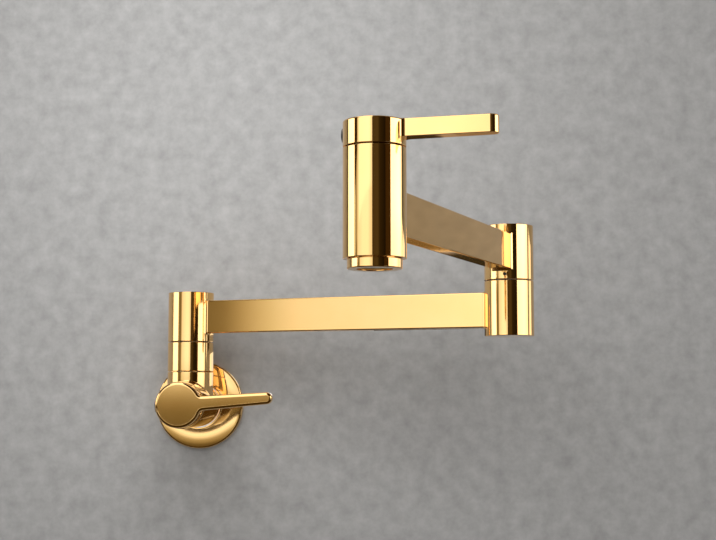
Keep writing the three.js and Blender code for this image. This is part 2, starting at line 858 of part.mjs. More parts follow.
function spoutNozzle() {
  const bore = nozzleThreadRadius - nozzleWall;
  return turned([
    [bore - nozzleLip, nozzleFoot],
    [nozzleRadius - edgeChamfer, nozzleFoot],
    [nozzleRadius, nozzleFoot + edgeChamfer],
    [nozzleRadius, nozzleShoulder],
    [nozzleThreadRadius, nozzleShoulder],
    [nozzleThreadRadius, nozzleTop],
    [bore, nozzleTop],
    [bore, nozzleFoot + nozzleLipHeight],
    [bore - nozzleLip, nozzleFoot + nozzleLipHeight],
  ], round);
}

function aeratorInsert() {
  return perforatedDisc(
    aeratorRadius, aeratorBottom, aeratorBottom + aeratorHeight,
    aeratorCell, aeratorHole, aeratorRings, hexSides,
  );
}

function aeratorScreen() {
  return perforatedDisc(
    aeratorRadius, aeratorScreenBottom, aeratorScreenBottom + screenThickness,
    screenCell, screenHole, screenRings, hexSides,
  );
}

function aeratorWasher() {
  return ring(
    aeratorRadius - gallerySeat, nozzleThreadRadius,
    aeratorWasherBottom, aeratorWasherBottom + washerThickness,
  );
}

// ----------------------------------------------------------------- assembly

// The pieces of one valve, named after its place, in a frame with its seat at z = 0.
function valvePieces(place, turn) {
  const fixed = new THREE.Group();
  fixed.add(
    piece(`${place}_seat_seal`, seatSeal(), 'rubber'),
    piece(`${place}_fixed_disc`, ceramicDisc(fixedDiscBottom), 'ceramic'),
    piece(`${place}_cartridge_body`, cartridgeBody(), 'rawBrass'),
    piece(`${place}_cartridge_seal`, cartridgeSeal(), 'rubber'),
    piece(`${place}_retaining_nut`, retainingNut(), 'rawBrass'),
  );
  const turning = group(
    [0, 0, 0], turn,
    piece(`${place}_moving_disc`, ceramicDisc(movingDiscBottom), 'ceramic'),
    piece(`${place}_valve_stem`, valveStem(), 'rawBrass'),
    piece(`${place}_stem_seal`, stemSeal(), 'rubber'),
    piece(`${place}_handle`, handle(handleForms[place]), 'gold'),
    piece(`${place}_handle_screw`, handleScrew(), 'steel'),
    piece(`${place}_handle_plug`, handlePlug(handleForms[place]), 'plug'),
  );
  fixed.add(turning);
  return fixed;
}

const wallValve = valvePieces('wall', wallHandleTurn);
wallValve.rotation.x = Math.PI / 2;
wallValve.position.y = -seatStandoff;

const spoutValve = valvePieces('spout', spoutHandleTurn);
spoutValve.position.z = spoutSeat;

const spout = group(
  [armReach, 0, 0], 0,
  piece('spout_column', spoutColumn(), 'gold'),
  piece('spout_nozzle', spoutNozzle(), 'gold'),
  piece('aerator_insert', aeratorInsert(), 'nylon'),
  piece('aerator_screen', aeratorScreen(), 'steel'),
  piece('aerator_washer', aeratorWasher(), 'rubber'),
  spoutValve,
);

const armTwo = group(
  [armReach, 0, 0], armTwoTurn,
  piece('elbow_upper_housing', turningHousing({
    bottom: elbowUpperBottom,
    height: elbowHousingHeight,
    level: armTwoLevel,
    barTurn: 0,
    screwTurn: elbowScrewTurn,
  }), 'gold'),
  piece('elbow_glide_ring', glideRing(elbowUpperBottom), 'nylon'),
  piece('elbow_swivel_screw', swivelScrew(elbowScrewTurn, elbowUpperBottom), 'steel'),
  piece('arm_two_bar', armBar(armTwoLevel), 'gold'),
  spout,
);

const elbowFoot = armOneLevel + waistHalf;

const armOne = group(
  [0, 0, 0], armOneTurn,
  piece('riser_housing', turningHousing({
    bottom: riserHousingBottom,
    height: riserHousingHeight,
    level: armOneLevel,
    barTurn: 0,
    screwTurn: riserScrewTurn,
  }), 'gold'),
  piece('riser_glide_ring', glideRing(riserHousingBottom), 'nylon'),
  piece('riser_swivel_screw', swivelScrew(riserScrewTurn, riserHousingBottom), 'steel'),
  piece('arm_one_bar', armBar(armOneLevel), 'gold'),
  group(
    [armReach, 0, 0], 0,
    piece('elbow_lower_housing', elbowLowerHousing(), 'gold'),
    piece('elbow_stem', swivelStem({
      foot: elbowFoot,
      shoulder: elbowSeam + fit,
      level: armTwoLevel,
      screwLevel: elbowUpperBottom + swivelScrewLevel,
    }), 'rawBrass'),
    piece('elbow_lower_seal', swivelSeal(lowerSealLevel(armTwoLevel)), 'rubber'),
    piece('elbow_upper_seal', swivelSeal(upperSealLevel(armTwoLevel)), 'rubber'),
  ),
  armTwo,
);

const riser = group(
  [0, -riserStandoff, 0], 0,
  piece('riser_collar', riserCollar(), 'gold'),
  piece('riser_stem', swivelStem({
    foot: riserFloor + stemCavity,
    shoulder: collarTop + fit,
    level: armOneLevel,
    screwLevel: riserHousingBottom + swivelScrewLevel,
  }), 'rawBrass'),
  piece('riser_lower_seal', swivelSeal(lowerSealLevel(armOneLevel)), 'rubber'),
  piece('riser_upper_seal', swivelSeal(upperSealLevel(armOneLevel)), 'rubber'),
  armOne,
);

const potFiller = new THREE.Group();
potFiller.add(
  piece('valve_body', valveBody(), 'gold'),
  piece('wall_flange', wallFlange(), 'gold'),
  piece('flange_gasket', flangeGasket(), 'rubber'),
  piece('flange_seal', flangeSeal(), 'rubber'),
  piece('inlet_nipple', inletNipple(), 'rawBrass'),
  piece('inlet_screen', inletScreen(), 'steel'),
  piece('inlet_washer', inletWasher(), 'rubber'),
  wallValve,
  riser,
);

export default potFiller;
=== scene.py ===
"""A wall mounted pot filler in polished gold: a wall valve, a riser, two swing arms and a
spout valve. Sizes are in millimetres unless a name says otherwise; +Y runs into the wall."""
import json
import math

import bmesh
import bpy
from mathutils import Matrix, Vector

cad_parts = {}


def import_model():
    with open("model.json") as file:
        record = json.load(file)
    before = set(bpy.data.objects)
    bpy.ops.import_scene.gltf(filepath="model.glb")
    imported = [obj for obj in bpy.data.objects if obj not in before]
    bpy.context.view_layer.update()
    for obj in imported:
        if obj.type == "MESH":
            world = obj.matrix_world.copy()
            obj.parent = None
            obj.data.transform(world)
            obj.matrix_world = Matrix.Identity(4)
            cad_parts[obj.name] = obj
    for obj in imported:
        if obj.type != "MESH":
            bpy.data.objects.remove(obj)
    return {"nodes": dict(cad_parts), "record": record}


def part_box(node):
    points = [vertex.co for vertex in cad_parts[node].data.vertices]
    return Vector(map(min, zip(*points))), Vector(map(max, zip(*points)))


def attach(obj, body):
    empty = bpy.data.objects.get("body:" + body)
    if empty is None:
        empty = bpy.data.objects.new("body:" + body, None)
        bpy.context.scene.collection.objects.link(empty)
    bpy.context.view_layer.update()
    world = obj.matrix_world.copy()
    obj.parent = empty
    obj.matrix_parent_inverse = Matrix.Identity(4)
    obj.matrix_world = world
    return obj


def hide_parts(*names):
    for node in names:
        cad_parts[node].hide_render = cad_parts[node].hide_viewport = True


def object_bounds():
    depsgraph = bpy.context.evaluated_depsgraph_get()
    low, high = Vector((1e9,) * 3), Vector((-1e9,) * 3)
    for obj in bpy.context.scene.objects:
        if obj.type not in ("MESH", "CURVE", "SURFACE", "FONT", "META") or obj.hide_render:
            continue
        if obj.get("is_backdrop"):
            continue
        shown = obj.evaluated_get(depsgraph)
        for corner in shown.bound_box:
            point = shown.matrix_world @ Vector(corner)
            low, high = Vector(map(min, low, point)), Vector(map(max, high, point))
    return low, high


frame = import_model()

cad_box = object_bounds()

MM = 0.001
SIDES = 144  # columns of points round a polished cylinder
SMALL_SIDES = 96  # round the nipple and the aerator's ring
PLUG_SIDES = 48
QUARTER_TURN = 90
HALF_TURN = 180
FULL_TURN = 360
ARC_STEPS = 5  # faces across a small rounded edge
CREASE = math.radians(38)  # edges that turn by more than this stay sharp
WELD = 1e-6  # metres; points nearer than this are one point
TINY = 1e-6  # keeps equal levels apart and divisors from zero

# ------------------------------------------------------------------ sizes

SEAM_ROUND = 0.4  # edges beside an open joint line
END_ROUND = 0.35  # free ends of the columns
SWIVEL_BORE = 11.5
ROOT_BORE = 9.5
CHAMBER_RADIUS = 11
CHAMBER_DEPTH = 27
HOUSING_CEILING = 5.4  # metal over the bore of a turning housing
ELBOW_FLOOR = 4

NOZZLE_THREAD_BORE = 12.3  # in the spout column
NOZZLE_THREAD = 12
NOZZLE_BORE = 10.2
NOZZLE_LIP = 8.9
NOZZLE_LIP_HEIGHT = 1.2
NOZZLE_ROUND = 0.6
NOZZLE_FINE_ROUND = 0.2  # on its shoulder and its lip
NOZZLE_GAP = 0.3  # under the spout column

BAR_THICKNESS = 11.5
BAR_ROUND = 0.9  # long edges of the arms
BAR_FILLET = 1.2  # where a bar meets a column
BAR_GAP = 0.03  # bar to column
BAR_STEPS = 12  # across a bar's flat top

STUB_FILLET = 1.2  # between the valve body's barrel and its upright stub
INLET_RADIUS = 10.775
INLET_DEPTH = 21.7
RISER_BORE_FLOOR = 6

FLANGE_THICKNESS = 6  # of the disc
FLANGE_ROUND = 1.4  # on its front edge
FLANGE_CROWN = 0.35  # how far its face falls away towards that edge
FLANGE_WEB = 1.8  # metal in front of its hollow
FLANGE_NECK = 17.4
FLANGE_NECK_ROUND = 0.5
FLANGE_HOLE = 16
FLANGE_LAND = 25  # inner radius of the ring that lies on the wall
FLANGE_STEPS = 16  # across the disc's face

LEVER_DEPTH = 9
LEVER_ROOT_HALF = 4.75
LEVER_TIP_RADIUS = 3.9
LEVER_TIP_STEPS = 28
LEVER_FILLET = 3
LEVER_FILLET_STEPS = 10
LEVER_UNDER_EDGE = 0.35
LEVER_MARGIN = 1  # kept from the level of its underside
HANDLE_EDGES = {"wall": 2, "spout": 0.9}  # rounding of the outer face
HANDLE_EDGE_STEPS = 10
HANDLE_WINDOW_STEPS = 4  # rows beside the plug's hole, over the lever's underside
SOCKET_RADIUS = 4.3
SOCKET_DEPTH = 10

PLUG_LEVEL = 6.5  # above the handle's open end
PLUG_RADIUS = 4
PLUG_HOLE_DEPTH = 2.4
PLUG_HOLE_MARGIN = 0.6  # from its hole to the edge of the window that it is cut in
PLUG_PROUD = 0.7  # how far its face stands out of the cap
PLUG_SIDE_GAP = 0.1
PLUG_FOOT_GAP = 0.2
PLUG_ROUND = 0.3
PLUG_CROWN = 0.25
PLUG_CROWN_STEPS = 6

SCREW_LEVEL = 3.1  # above a turning housing's lower end
SCREW_HOLE_RADIUS = 1.1
SCREW_HOLE_DEPTH = 3
SCREW_WINDOW = 1.4 * SCREW_HOLE_RADIUS  # half of the window that its hole is cut in
SCREW_WINDOW_STEPS = 2  # rows on each side of the window's middle
ELBOW_SCREW_OFFSET = 7  # degrees from the second arm
RISER_SCREW_OFFSET = 110  # degrees from the first arm
HOLE_LIP = 0.06  # width of the faces round a drilled hole, as a share of its radius

THREAD_PITCH = 1.814  # G 1/2
THREAD_DEPTH = 1.16
THREAD_ROWS = 8  # for each turn
NIPPLE_BORE = 7
NIPPLE_CHAMFER = 1.2

HONEYCOMB_PITCH = 2
HONEYCOMB_RINGS = 4  # round the middle cell
HONEYCOMB_WALL = 0.35
HONEYCOMB_SET_BACK = 0.35  # behind the face of the ring round it
HONEYCOMB_DEPTH = 3
HONEYCOMB_COVERED = 0.3  # share of the outermost pitch that the ring covers
INSERT_ROUND = 0.15
HEXAGON = 6

# ----------------------------------------------------------------- studio

TINT_FROM = 0.3  # noise below this has the darker colour
TINT_TO = 0.7  # and above this the lighter one
WALL_COLOUR = (0.34, 0.34, 0.337)
WALL_STAIN = (0.465, 0.465, 0.462)
WALL_MOTTLING = (90, 8, 0.62)  # features per metre, detail and roughness
WALL_HOLE = 28  # behind the flange
FLOOR_COLOUR = (0.72, 0.72, 0.71)
FLOOR_DROP = 350  # under the valve's axis
ROOM = 3000
ROOM_GLOW = (0.045, 0.024, 0.006, 1)  # in front of the wall, except to the camera
PALE_GLOW = (0.72, 0.72, 0.72, 1)  # behind the wall, and to the camera

BRIGHTEST = 4  # strengths run from 0 to this
WARM_BELOW = 1.2  # light dimmer than this is tinted
WARMTH = (
    (0, (1, 0.62, 0.2)), (0.15, (1, 0.82, 0.42)), (0.4, (1, 0.9, 0.62)),
    (0.7, (1, 1, 0.87)), (1, (1, 1, 1)),
)
CARD_TOP = 900
FRONT_LEFT = Vector((-830, -620))
FRONT_RIGHT = Vector((88, -730))
FRONT_SPLIT = 165  # level between what the arms see and what the spout sees
TALL_FROM = 0.36  # share of the front where the tall part starts
LAMPS = (  # name, place and aim in metres, width in metres, watts
    ("key_light", (0, -0.3, 0.25), (0, 0, 0.25), 0.3, 0.7),
    ("fill_light", (0.15, -2.6, 1.2), (0.15, 0, 0.1), 2.5, 49),
)

CAMERA_PLACE = (146.7, -994.6, 0.85)
CAMERA_PITCH = 5.54  # degrees above level
CAMERA_YAW = 1.915  # degrees to the left
CAMERA_LENS = 69.3
CAMERA_NEAR = 0.01  # metres


def box_mm(node):
    low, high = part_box(node)
    return low / MM, high / MM


def centre_of(node):
    low, high = box_mm(node)
    return (low + high) / 2


def plan_turn(start, end):
    """Degrees from +X to the level direction from one point to another."""
    return math.degrees(math.atan2(end.y - start.y, end.x - start.x))


COLUMN_RADIUS = (box_mm("riser_collar")[1].x - box_mm("riser_collar")[0].x) / 2
RISER = centre_of("riser_collar")
ELBOW = centre_of("elbow_lower_housing")
SPOUT = centre_of("spout_column")
ARM_ONE_TURN = plan_turn(RISER, ELBOW)
ARM_TWO_TURN = plan_turn(ELBOW, SPOUT)
ELBOW_SCREW_TURN = ARM_TWO_TURN + ELBOW_SCREW_OFFSET
RISER_SCREW_TURN = ARM_ONE_TURN + RISER_SCREW_OFFSET


# ------------------------------------------------------------ mesh helpers

class Axis:
    """A straight line that round shapes are made about."""

    def __init__(self, origin, along, zero):
        self.origin = Vector(origin)
        self.along = Vector(along).normalized()
        self.zero = Vector(zero).normalized()
        self.side = self.along.cross(self.zero)

    def direction(self, degrees):
        angle = math.radians(degrees)
        return self.zero * math.cos(angle) + self.side * math.sin(angle)

    def point(self, radius, degrees, height):
        return self.origin + self.along * height + self.direction(degrees) * radius

    def flat(self, forward, sideways, height):
        return self.origin + self.along * height + self.zero * forward + self.side * sideways


def upright(centre, turn=0):
    return Axis((centre.x, centre.y, 0), (0, 0, 1), (
        math.cos(math.radians(turn)), math.sin(math.radians(turn)), 0,
    ))


def out_of_wall(turn=0):
    return Axis((0, 0, 0), (0, -1, 0), (
        math.cos(math.radians(turn)), 0, math.sin(math.radians(turn)),
    ))


class Shell:
    """The points and faces of one piece until it becomes a mesh."""

    def __init__(self):
        self.points = []
        self.faces = []

    def row(self, points):
        first = len(self.points)
        self.points.extend(Vector(point) for point in points)
        return list(range(first, len(self.points)))

    def strip(self, low, high, closed=True, skip=()):
        for k in range(len(low) if closed else len(low) - 1):
            after = (k + 1) % len(low)
            if k not in skip:
                self.faces.append((low[k], low[after], high[after], high[k]))

    def skin(self, rows, closed=True):
        for low, high in zip(rows, rows[1:]):
            self.strip(low, high, closed)

    def lid(self, row):
        self.faces.append(tuple(row))

    def mesh(self, name):
        form = bmesh.new()
        vertices = [form.verts.new(point * MM) for point in self.points]
        for face in self.faces:
            form.faces.new([vertices[k] for k in face])
        bmesh.ops.remove_doubles(form, verts=form.verts, dist=WELD)
        loose = [vertex for vertex in form.verts if not vertex.link_faces]
        bmesh.ops.delete(form, geom=loose, context="VERTS")
        bmesh.ops.recalc_face_normals(form, faces=form.faces)
        for face in form.faces:
            face.smooth = True
        for edge in form.edges:
            edge.smooth = edge.calc_face_angle(0) < CREASE
        mesh = bpy.data.meshes.new(name)
        form.to_mesh(mesh)
        form.free()
        return mesh


def linked(name, data):
    """A new object in the scene."""
    made = bpy.data.objects.new(name, data)
    bpy.context.scene.collection.objects.link(made)
    return made


def piece(name, shell, node, body, material):
    """The finished mesh of a shell, standing for a CAD node and riding on its body."""
    made = linked(name, shell.mesh(name))
    made.data.materials.append(material)
    even = made.modifiers.new("even_shading", "WEIGHTED_NORMAL")
    even.keep_sharp = True
    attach(made, body)
    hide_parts(node)


def quarter(steps):
    """Angles from 0 to a quarter turn, in radians."""
    return [math.pi / 2 * k / steps for k in range(steps + 1)]


def arc(start, end, centre, steps=ARC_STEPS):
    """Points on the short arc from one point to another about a centre, in a plane."""
    first = math.atan2(start[1] - centre[1], start[0] - centre[0])
    last = math.atan2(end[1] - centre[1], end[0] - centre[0])
    sweep = (last - first + math.pi) % (2 * math.pi) - math.pi
    radius = math.dist(start, centre)
    angles = [first + sweep * k / steps for k in range(steps + 1)]
    return [(centre[0] + radius * math.cos(a), centre[1] + radius * math.sin(a)) for a in angles]


def rounded(corners, closed=False):
    """An outline from (radius, height, rounding) corners."""
    points = []
    count = len(corners)
    for k, (x, y, rounding) in enumerate(corners):
        if not rounding:
            points.append((x, y))
            continue
        corner = Vector((x, y))
        before = (Vector(corners[k - 1][:2]) - corner).normalized()
        after = (Vector(corners[(k + 1) % count][:2]) - corner).normalized()
        half = before.angle(after) / 2
        reach = rounding / math.tan(half)
        centre = corner + (before + after).normalized() * rounding / math.sin(half)
        points.extend(arc(corner + before * reach, corner + after * reach, centre))
    if closed:
        points.append(points[0])
    return points


def lathe(shell, axis, profile, sides=SIDES, turn=0, opened=(), skipped=()):
    """Turns an outline of (radius, height) points about an axis and closes its ends.

    The strips numbered in opened leave out their faces numbered in skipped."""
    angles = [turn + FULL_TURN * k / sides for k in range(sides)]
    rows = [shell.row(axis.point(r, a, h) for a in angles) for r, h in profile if r > 0]
    for k, (low, high) in enumerate(zip(rows, rows[1:])):
        shell.strip(low, high, skip=skipped if k in opened else ())
    if profile[0][0] == 0:
        shell.lid(rows[0])
    if profile[-1][0] == 0:
        shell.lid(rows[-1])
    return rows


def drilled(shell, axis, wall_radius, turn, level, radius, depth, rows, columns):
    """A blind round hole in the wall of a cylinder, in a window of its grid of points."""
    edge = [rows[0][c] for c in columns]
    edge += [row[columns[-1]] for row in rows[1:-1]]
    edge += [rows[-1][c] for c in reversed(columns)]
    edge += [row[columns[0]] for row in reversed(rows[1:-1])]
    outward = axis.direction(turn)
    sideways = axis.along.cross(outward)
    middle = axis.origin + axis.along * level
    spread = []
    for index in edge:
        offset = shell.points[index] - middle
        spread.append(math.atan2(offset.dot(axis.along), offset.dot(sideways)))

    def circle(size, reach=None):
        points = []
        for angle in spread:
            across = size * math.cos(angle)
            out = reach or math.sqrt(wall_radius ** 2 - across ** 2)
            points.append(
                middle + outward * out + sideways * across + axis.along * size * math.sin(angle)
            )
        return shell.row(points)

    rings = [edge, circle(radius + radius * HOLE_LIP), circle(radius, wall_radius - depth)]
    shell.skin(rings)
    shell.lid(rings[-1])


def column(name, node, body, material, corners, centre, closed=False, screw_turn=None):
    """A turned piece about an upright axis, with a screw hole in its wall if asked for."""
    shell = Shell()
    axis = upright(centre)
    profile = rounded(corners, closed)
    if screw_turn is None:
        lathe(shell, axis, profile)
    else:
        screw_column(shell, axis, profile, screw_turn, box_mm(node)[0].z + SCREW_LEVEL)
    piece(name, shell, node, body, material)


def screw_column(shell, axis, profile, turn, level):
    """A lathed shape whose outer wall has one small round hole."""
    half = math.ceil(SCREW_WINDOW / (2 * math.pi * COLUMN_RADIUS / SIDES))
    wall = next(
        k for k, (low, high) in enumerate(zip(profile, profile[1:]))
        if min(low[0], high[0]) > COLUMN_RADIUS - WELD / MM
        and min(low[1], high[1]) < level < max(low[1], high[1])
    )
    window = [
        (COLUMN_RADIUS, level + SCREW_WINDOW * k / SCREW_WINDOW_STEPS)
        for k in range(-SCREW_WINDOW_STEPS, SCREW_WINDOW_STEPS + 1)
    ]
    if profile[wall][1] > profile[wall + 1][1]:
        window.reverse()
    outline = profile[:wall + 1] + window + profile[wall + 1:]
    on_axis = 1 if outline[0][0] == 0 else 0  # a point there has no row
    first = wall + 1 - on_axis
    rows = lathe(
        shell, axis, outline, turn=turn, opened=range(first, first + len(window) - 1),
        skipped={k % SIDES for k in range(-half, half)},
    )
    drilled(
        shell, axis, COLUMN_RADIUS, turn, level, SCREW_HOLE_RADIUS, SCREW_HOLE_DEPTH,
        rows[first:first + len(window)], [k % SIDES for k in range(-half, half + 1)],
    )


# --------------------------------------------------------------- materials

def noise(nodes, links, scale, detail, roughness=0.5):
    """Fine noise in the object's own space, in features per metre."""
    place = nodes.new("ShaderNodeTexCoord")
    texture = nodes.new("ShaderNodeTexNoise")
    texture.inputs["Scale"].default_value = scale
    texture.inputs["Detail"].default_value = detail
    texture.inputs["Roughness"].default_value = roughness
    links.new(place.outputs["Object"], texture.inputs["Vector"])
    return texture.outputs["Fac"]


def spread_between(nodes, links, value, low, high):
    scaled = nodes.new("ShaderNodeMapRange")
    scaled.inputs["To Min"].default_value = low
    scaled.inputs["To Max"].default_value = high
    links.new(value, scaled.inputs["Value"])
    return scaled.outputs["Result"]


def tinted(nodes, links, value, dark, light):
    ramp = nodes.new("ShaderNodeValToRGB")
    stops = ramp.color_ramp.elements
    for stop, at, colour in zip(stops, (TINT_FROM, TINT_TO), (dark, light)):
        stop.color = (*colour, 1)
        stop.position = at
    links.new(value, ramp.inputs["Fac"])
    return ramp.outputs["Color"]


def bumped(nodes, links, shader, value, strength, depth):
    bump = nodes.new("ShaderNodeBump")
    bump.inputs["Strength"].default_value = strength
    bump.inputs["Distance"].default_value = depth
    links.new(value, bump.inputs["Height"])
    links.new(bump.outputs["Normal"], shader.inputs["Normal"])


def finish(name, slot, dark, light, roughness, marks, grain=None, metallic=0):
    """A surface whose colour and roughness follow its marks, with a fine grain over it.

    Marks are features per metre and their detail. Grain is the same two, then the
    strength and the depth in metres of its bumps."""
    material = bpy.data.materials.new(name)
    material.use_nodes = True
    material["slot"] = slot
    nodes = material.node_tree.nodes
    links = material.node_tree.links
    shader = nodes["Principled BSDF"]
    shader.inputs["Metallic"].default_value = metallic
    worn = noise(nodes, links, *marks)
    links.new(tinted(nodes, links, worn, dark, light), shader.inputs["Base Color"])
    links.new(spread_between(nodes, links, worn, *roughness), shader.inputs["Roughness"])
    if grain:
        scale, detail, strength, depth = grain
        bumped(nodes, links, shader, noise(nodes, links, scale, detail), strength, depth)
    return material


def satin_steel(name, dark, light):
    return finish(name, "steel", dark, light, (0.25, 0.4), marks=(700, 6), metallic=1)


def dull_finish(name, slot, dark, light, roughness, scale):
    """A non-metal with a fine grain: rubber, ceramic or moulded plastic."""
    return finish(
        name, slot, dark, light, roughness, marks=(scale, 5), grain=(2 * scale, 4, 0.2, 0.00003),
    )


GOLD = finish(
    "polished_gold", "gold", (0.945, 0.595, 0.235), (0.97, 0.625, 0.265), (0.035, 0.085),
    marks=(35, 3), grain=(900, 2, 0.02, 0.00002), metallic=1,
)
BRASS = finish(
    "machined_brass", "raw_brass", (0.58, 0.42, 0.20), (0.70, 0.53, 0.28), (0.25, 0.45),
    marks=(400, 6), grain=(2500, 4, 0.15, 0.00003), metallic=1,
)
STEEL = satin_steel("satin_steel", (0.50, 0.51, 0.52), (0.64, 0.65, 0.66))
RUBBER = dull_finish(
    "black_rubber", "rubber", (0.012, 0.012, 0.013), (0.02, 0.02, 0.022), (0.55, 0.75), 900,
)
CERAMIC = dull_finish(
    "ground_ceramic", "ceramic", (0.76, 0.74, 0.70), (0.82, 0.80, 0.76), (0.15, 0.3), 1200,
)
NYLON = dull_finish(
    "white_nylon", "nylon", (0.66, 0.65, 0.61), (0.74, 0.73, 0.69), (0.35, 0.5), 900,
)
PLUG = dull_finish(
    "grey_plug", "plug", (0.05, 0.05, 0.048), (0.075, 0.075, 0.07), (0.3, 0.45), 900,
)
BY_SLOT = {
    material["slot"]: material
    for material in (GOLD, BRASS, STEEL, RUBBER, CERAMIC, NYLON, PLUG)
}
# Blacked steel for the set screws: a real dark oxide finish, and also painted shade that darkens
# their drilled holes.
BLACKED_AND_HOLE_SHADE = satin_steel("blacked_steel_and_hole_shade", (0.05, 0.05, 0.05), (0.09, 0.09, 0.09))


def dress_frame():
    """Gives every CAD node the finish that the record names for it; the set screws get blacked
    steel, which also serves as painted shade for their drilled holes.
    """
    for part in frame["record"]["subparts"]:
        mesh = frame["nodes"][part["node"]].data
        mesh.materials.clear()
        screw = part["node"].endswith("_screw")
        mesh.materials.append(BLACKED_AND_HOLE_SHADE if screw else BY_SLOT[part["material_slot"]])


# ------------------------------------------------------------- the columns

def bored_ring(node, low_round, high_round, bore):
    low, high = box_mm(node)
    return [
        (bore, low.z, 0), (COLUMN_RADIUS, low.z, low_round),
        (COLUMN_RADIUS, high.z, high_round), (bore, high.z, 0),
    ]


def turning_housing(node):
    """Closed on top, bored from below."""
    low, high = box_mm(node)
    return [
        (0, high.z - HOUSING_CEILING, 0), (SWIVEL_BORE, high.z - HOUSING_CEILING, 0),
        (SWIVEL_BORE, low.z, 0), (COLUMN_RADIUS, low.z, SEAM_ROUND),
        (COLUMN_RADIUS, high.z, END_ROUND), (0, high.z, 0),
    ]


def columns():
    column(
        "riser_collar_polished", "riser_collar", "root", GOLD,
        bored_ring("riser_collar", SEAM_ROUND, SEAM_ROUND, ROOT_BORE), RISER, closed=True,
    )
    column(
        "riser_housing_polished", "riser_housing", "arm_one", GOLD,
        turning_housing("riser_housing"), RISER, screw_turn=RISER_SCREW_TURN,
    )
    column(
        "elbow_upper_polished", "elbow_upper_housing", "arm_two", GOLD,
        turning_housing("elbow_upper_housing"), ELBOW, screw_turn=ELBOW_SCREW_TURN,
    )
    low, high = box_mm("elbow_lower_housing")
    column(
        "elbow_lower_polished", "elbow_lower_housing", "arm_one", GOLD,
        [
            (0, low.z, 0), (COLUMN_RADIUS, low.z, END_ROUND),
            (COLUMN_RADIUS, high.z, SEAM_ROUND), (ROOT_BORE, high.z, 0),
            (ROOT_BORE, low.z + ELBOW_FLOOR, 0), (0, low.z + ELBOW_FLOOR, 0),
        ],
        ELBOW,
    )
    low, high = box_mm("spout_column")
    washer_top = box_mm("aerator_washer")[1].z + SEAM_ROUND
    column(
        "spout_column_polished", "spout_column", "arm_two", GOLD,
        [
            (0, washer_top, 0), (NOZZLE_THREAD_BORE, washer_top, 0),
            (NOZZLE_THREAD_BORE, low.z, 0), (COLUMN_RADIUS, low.z, SEAM_ROUND),
            (COLUMN_RADIUS, high.z, SEAM_ROUND), (CHAMBER_RADIUS, high.z, 0),
            (CHAMBER_RADIUS, high.z - CHAMBER_DEPTH, 0), (0, high.z - CHAMBER_DEPTH, 0),
        ],
        SPOUT,
    )


def nozzle():
    low, high = box_mm("spout_nozzle")
    outer = (high.x - low.x) / 2
    shoulder = box_mm("spout_column")[0].z - NOZZLE_GAP
    column(
        "spout_nozzle_polished", "spout_nozzle", "arm_two", GOLD,
        [
            (NOZZLE_LIP, low.z, NOZZLE_FINE_ROUND), (outer, low.z, NOZZLE_ROUND),
            (outer, shoulder, NOZZLE_FINE_ROUND), (NOZZLE_THREAD, shoulder, 0),
            (NOZZLE_THREAD, high.z, 0), (NOZZLE_BORE, high.z, 0),
            (NOZZLE_BORE, low.z + NOZZLE_LIP_HEIGHT, 0),
            (NOZZLE_LIP, low.z + NOZZLE_LIP_HEIGHT, 0),
        ],
        SPOUT, closed=True,
    )


# ---------------------------------------------------------------- the arms

def bar_section(thickness, height, rounding):
    """The upper half of a bar's section from side to side, as (across, up) points."""
    half = thickness / 2
    top = height / 2
    left = arc(
        (-half, top - rounding), (-half + rounding, top), (-half + rounding, top - rounding),
    )
    flat = half - rounding
    middle = [(-flat + 2 * flat * k / BAR_STEPS, top) for k in range(1, BAR_STEPS)]
    right = [(-y, z) for y, z in reversed(left)]
    return left + middle + right


def arm_bar(name, node, body, start, turn, reach):
    """A flat bar between two columns that flares where it meets them."""
    shell = Shell()
    axis = Axis((start.x, start.y, centre_of(node).z), (
        math.cos(math.radians(turn)), math.sin(math.radians(turn)), 0,
    ), (0, 0, 1))
    low, high = box_mm(node)
    height = high.z - low.z
    limit = COLUMN_RADIUS + BAR_GAP
    ends = [
        (BAR_FILLET * (1 - math.sin(t)), BAR_FILLET * (1 - math.cos(t)))
        for t in quarter(ARC_STEPS)
    ]
    rows = []
    for far, order in ((False, ends), (True, list(reversed(ends)))):
        for growth, step in order:
            upper = bar_section(BAR_THICKNESS + 2 * growth, height + 2 * growth, BAR_ROUND)
            outline = upper + [(y, -z) for y, z in reversed(upper)]
            points = []
            for y, z in outline:
                x = math.sqrt(limit ** 2 - y ** 2) + step
                points.append(axis.flat(z, -y, reach - x if far else x))
            rows.append(shell.row(points))
    shell.skin(rows)
    for row in (rows[0], rows[-1]):
        half = len(row) // 2
        shell.strip(row[:half], list(reversed(row[half:])), closed=False)
    piece(name, shell, node, body, GOLD)


def arms():
    for name, node, body, start, end in (
        ("arm_one_polished", "arm_one_bar", "arm_one", RISER, ELBOW),
        ("arm_two_polished", "arm_two_bar", "arm_two", ELBOW, SPOUT),
    ):
        reach = math.hypot(end.x - start.x, end.y - start.y)
        arm_bar(name, node, body, start, plan_turn(start, end), reach)


# ------------------------------------------------------------ the wall side

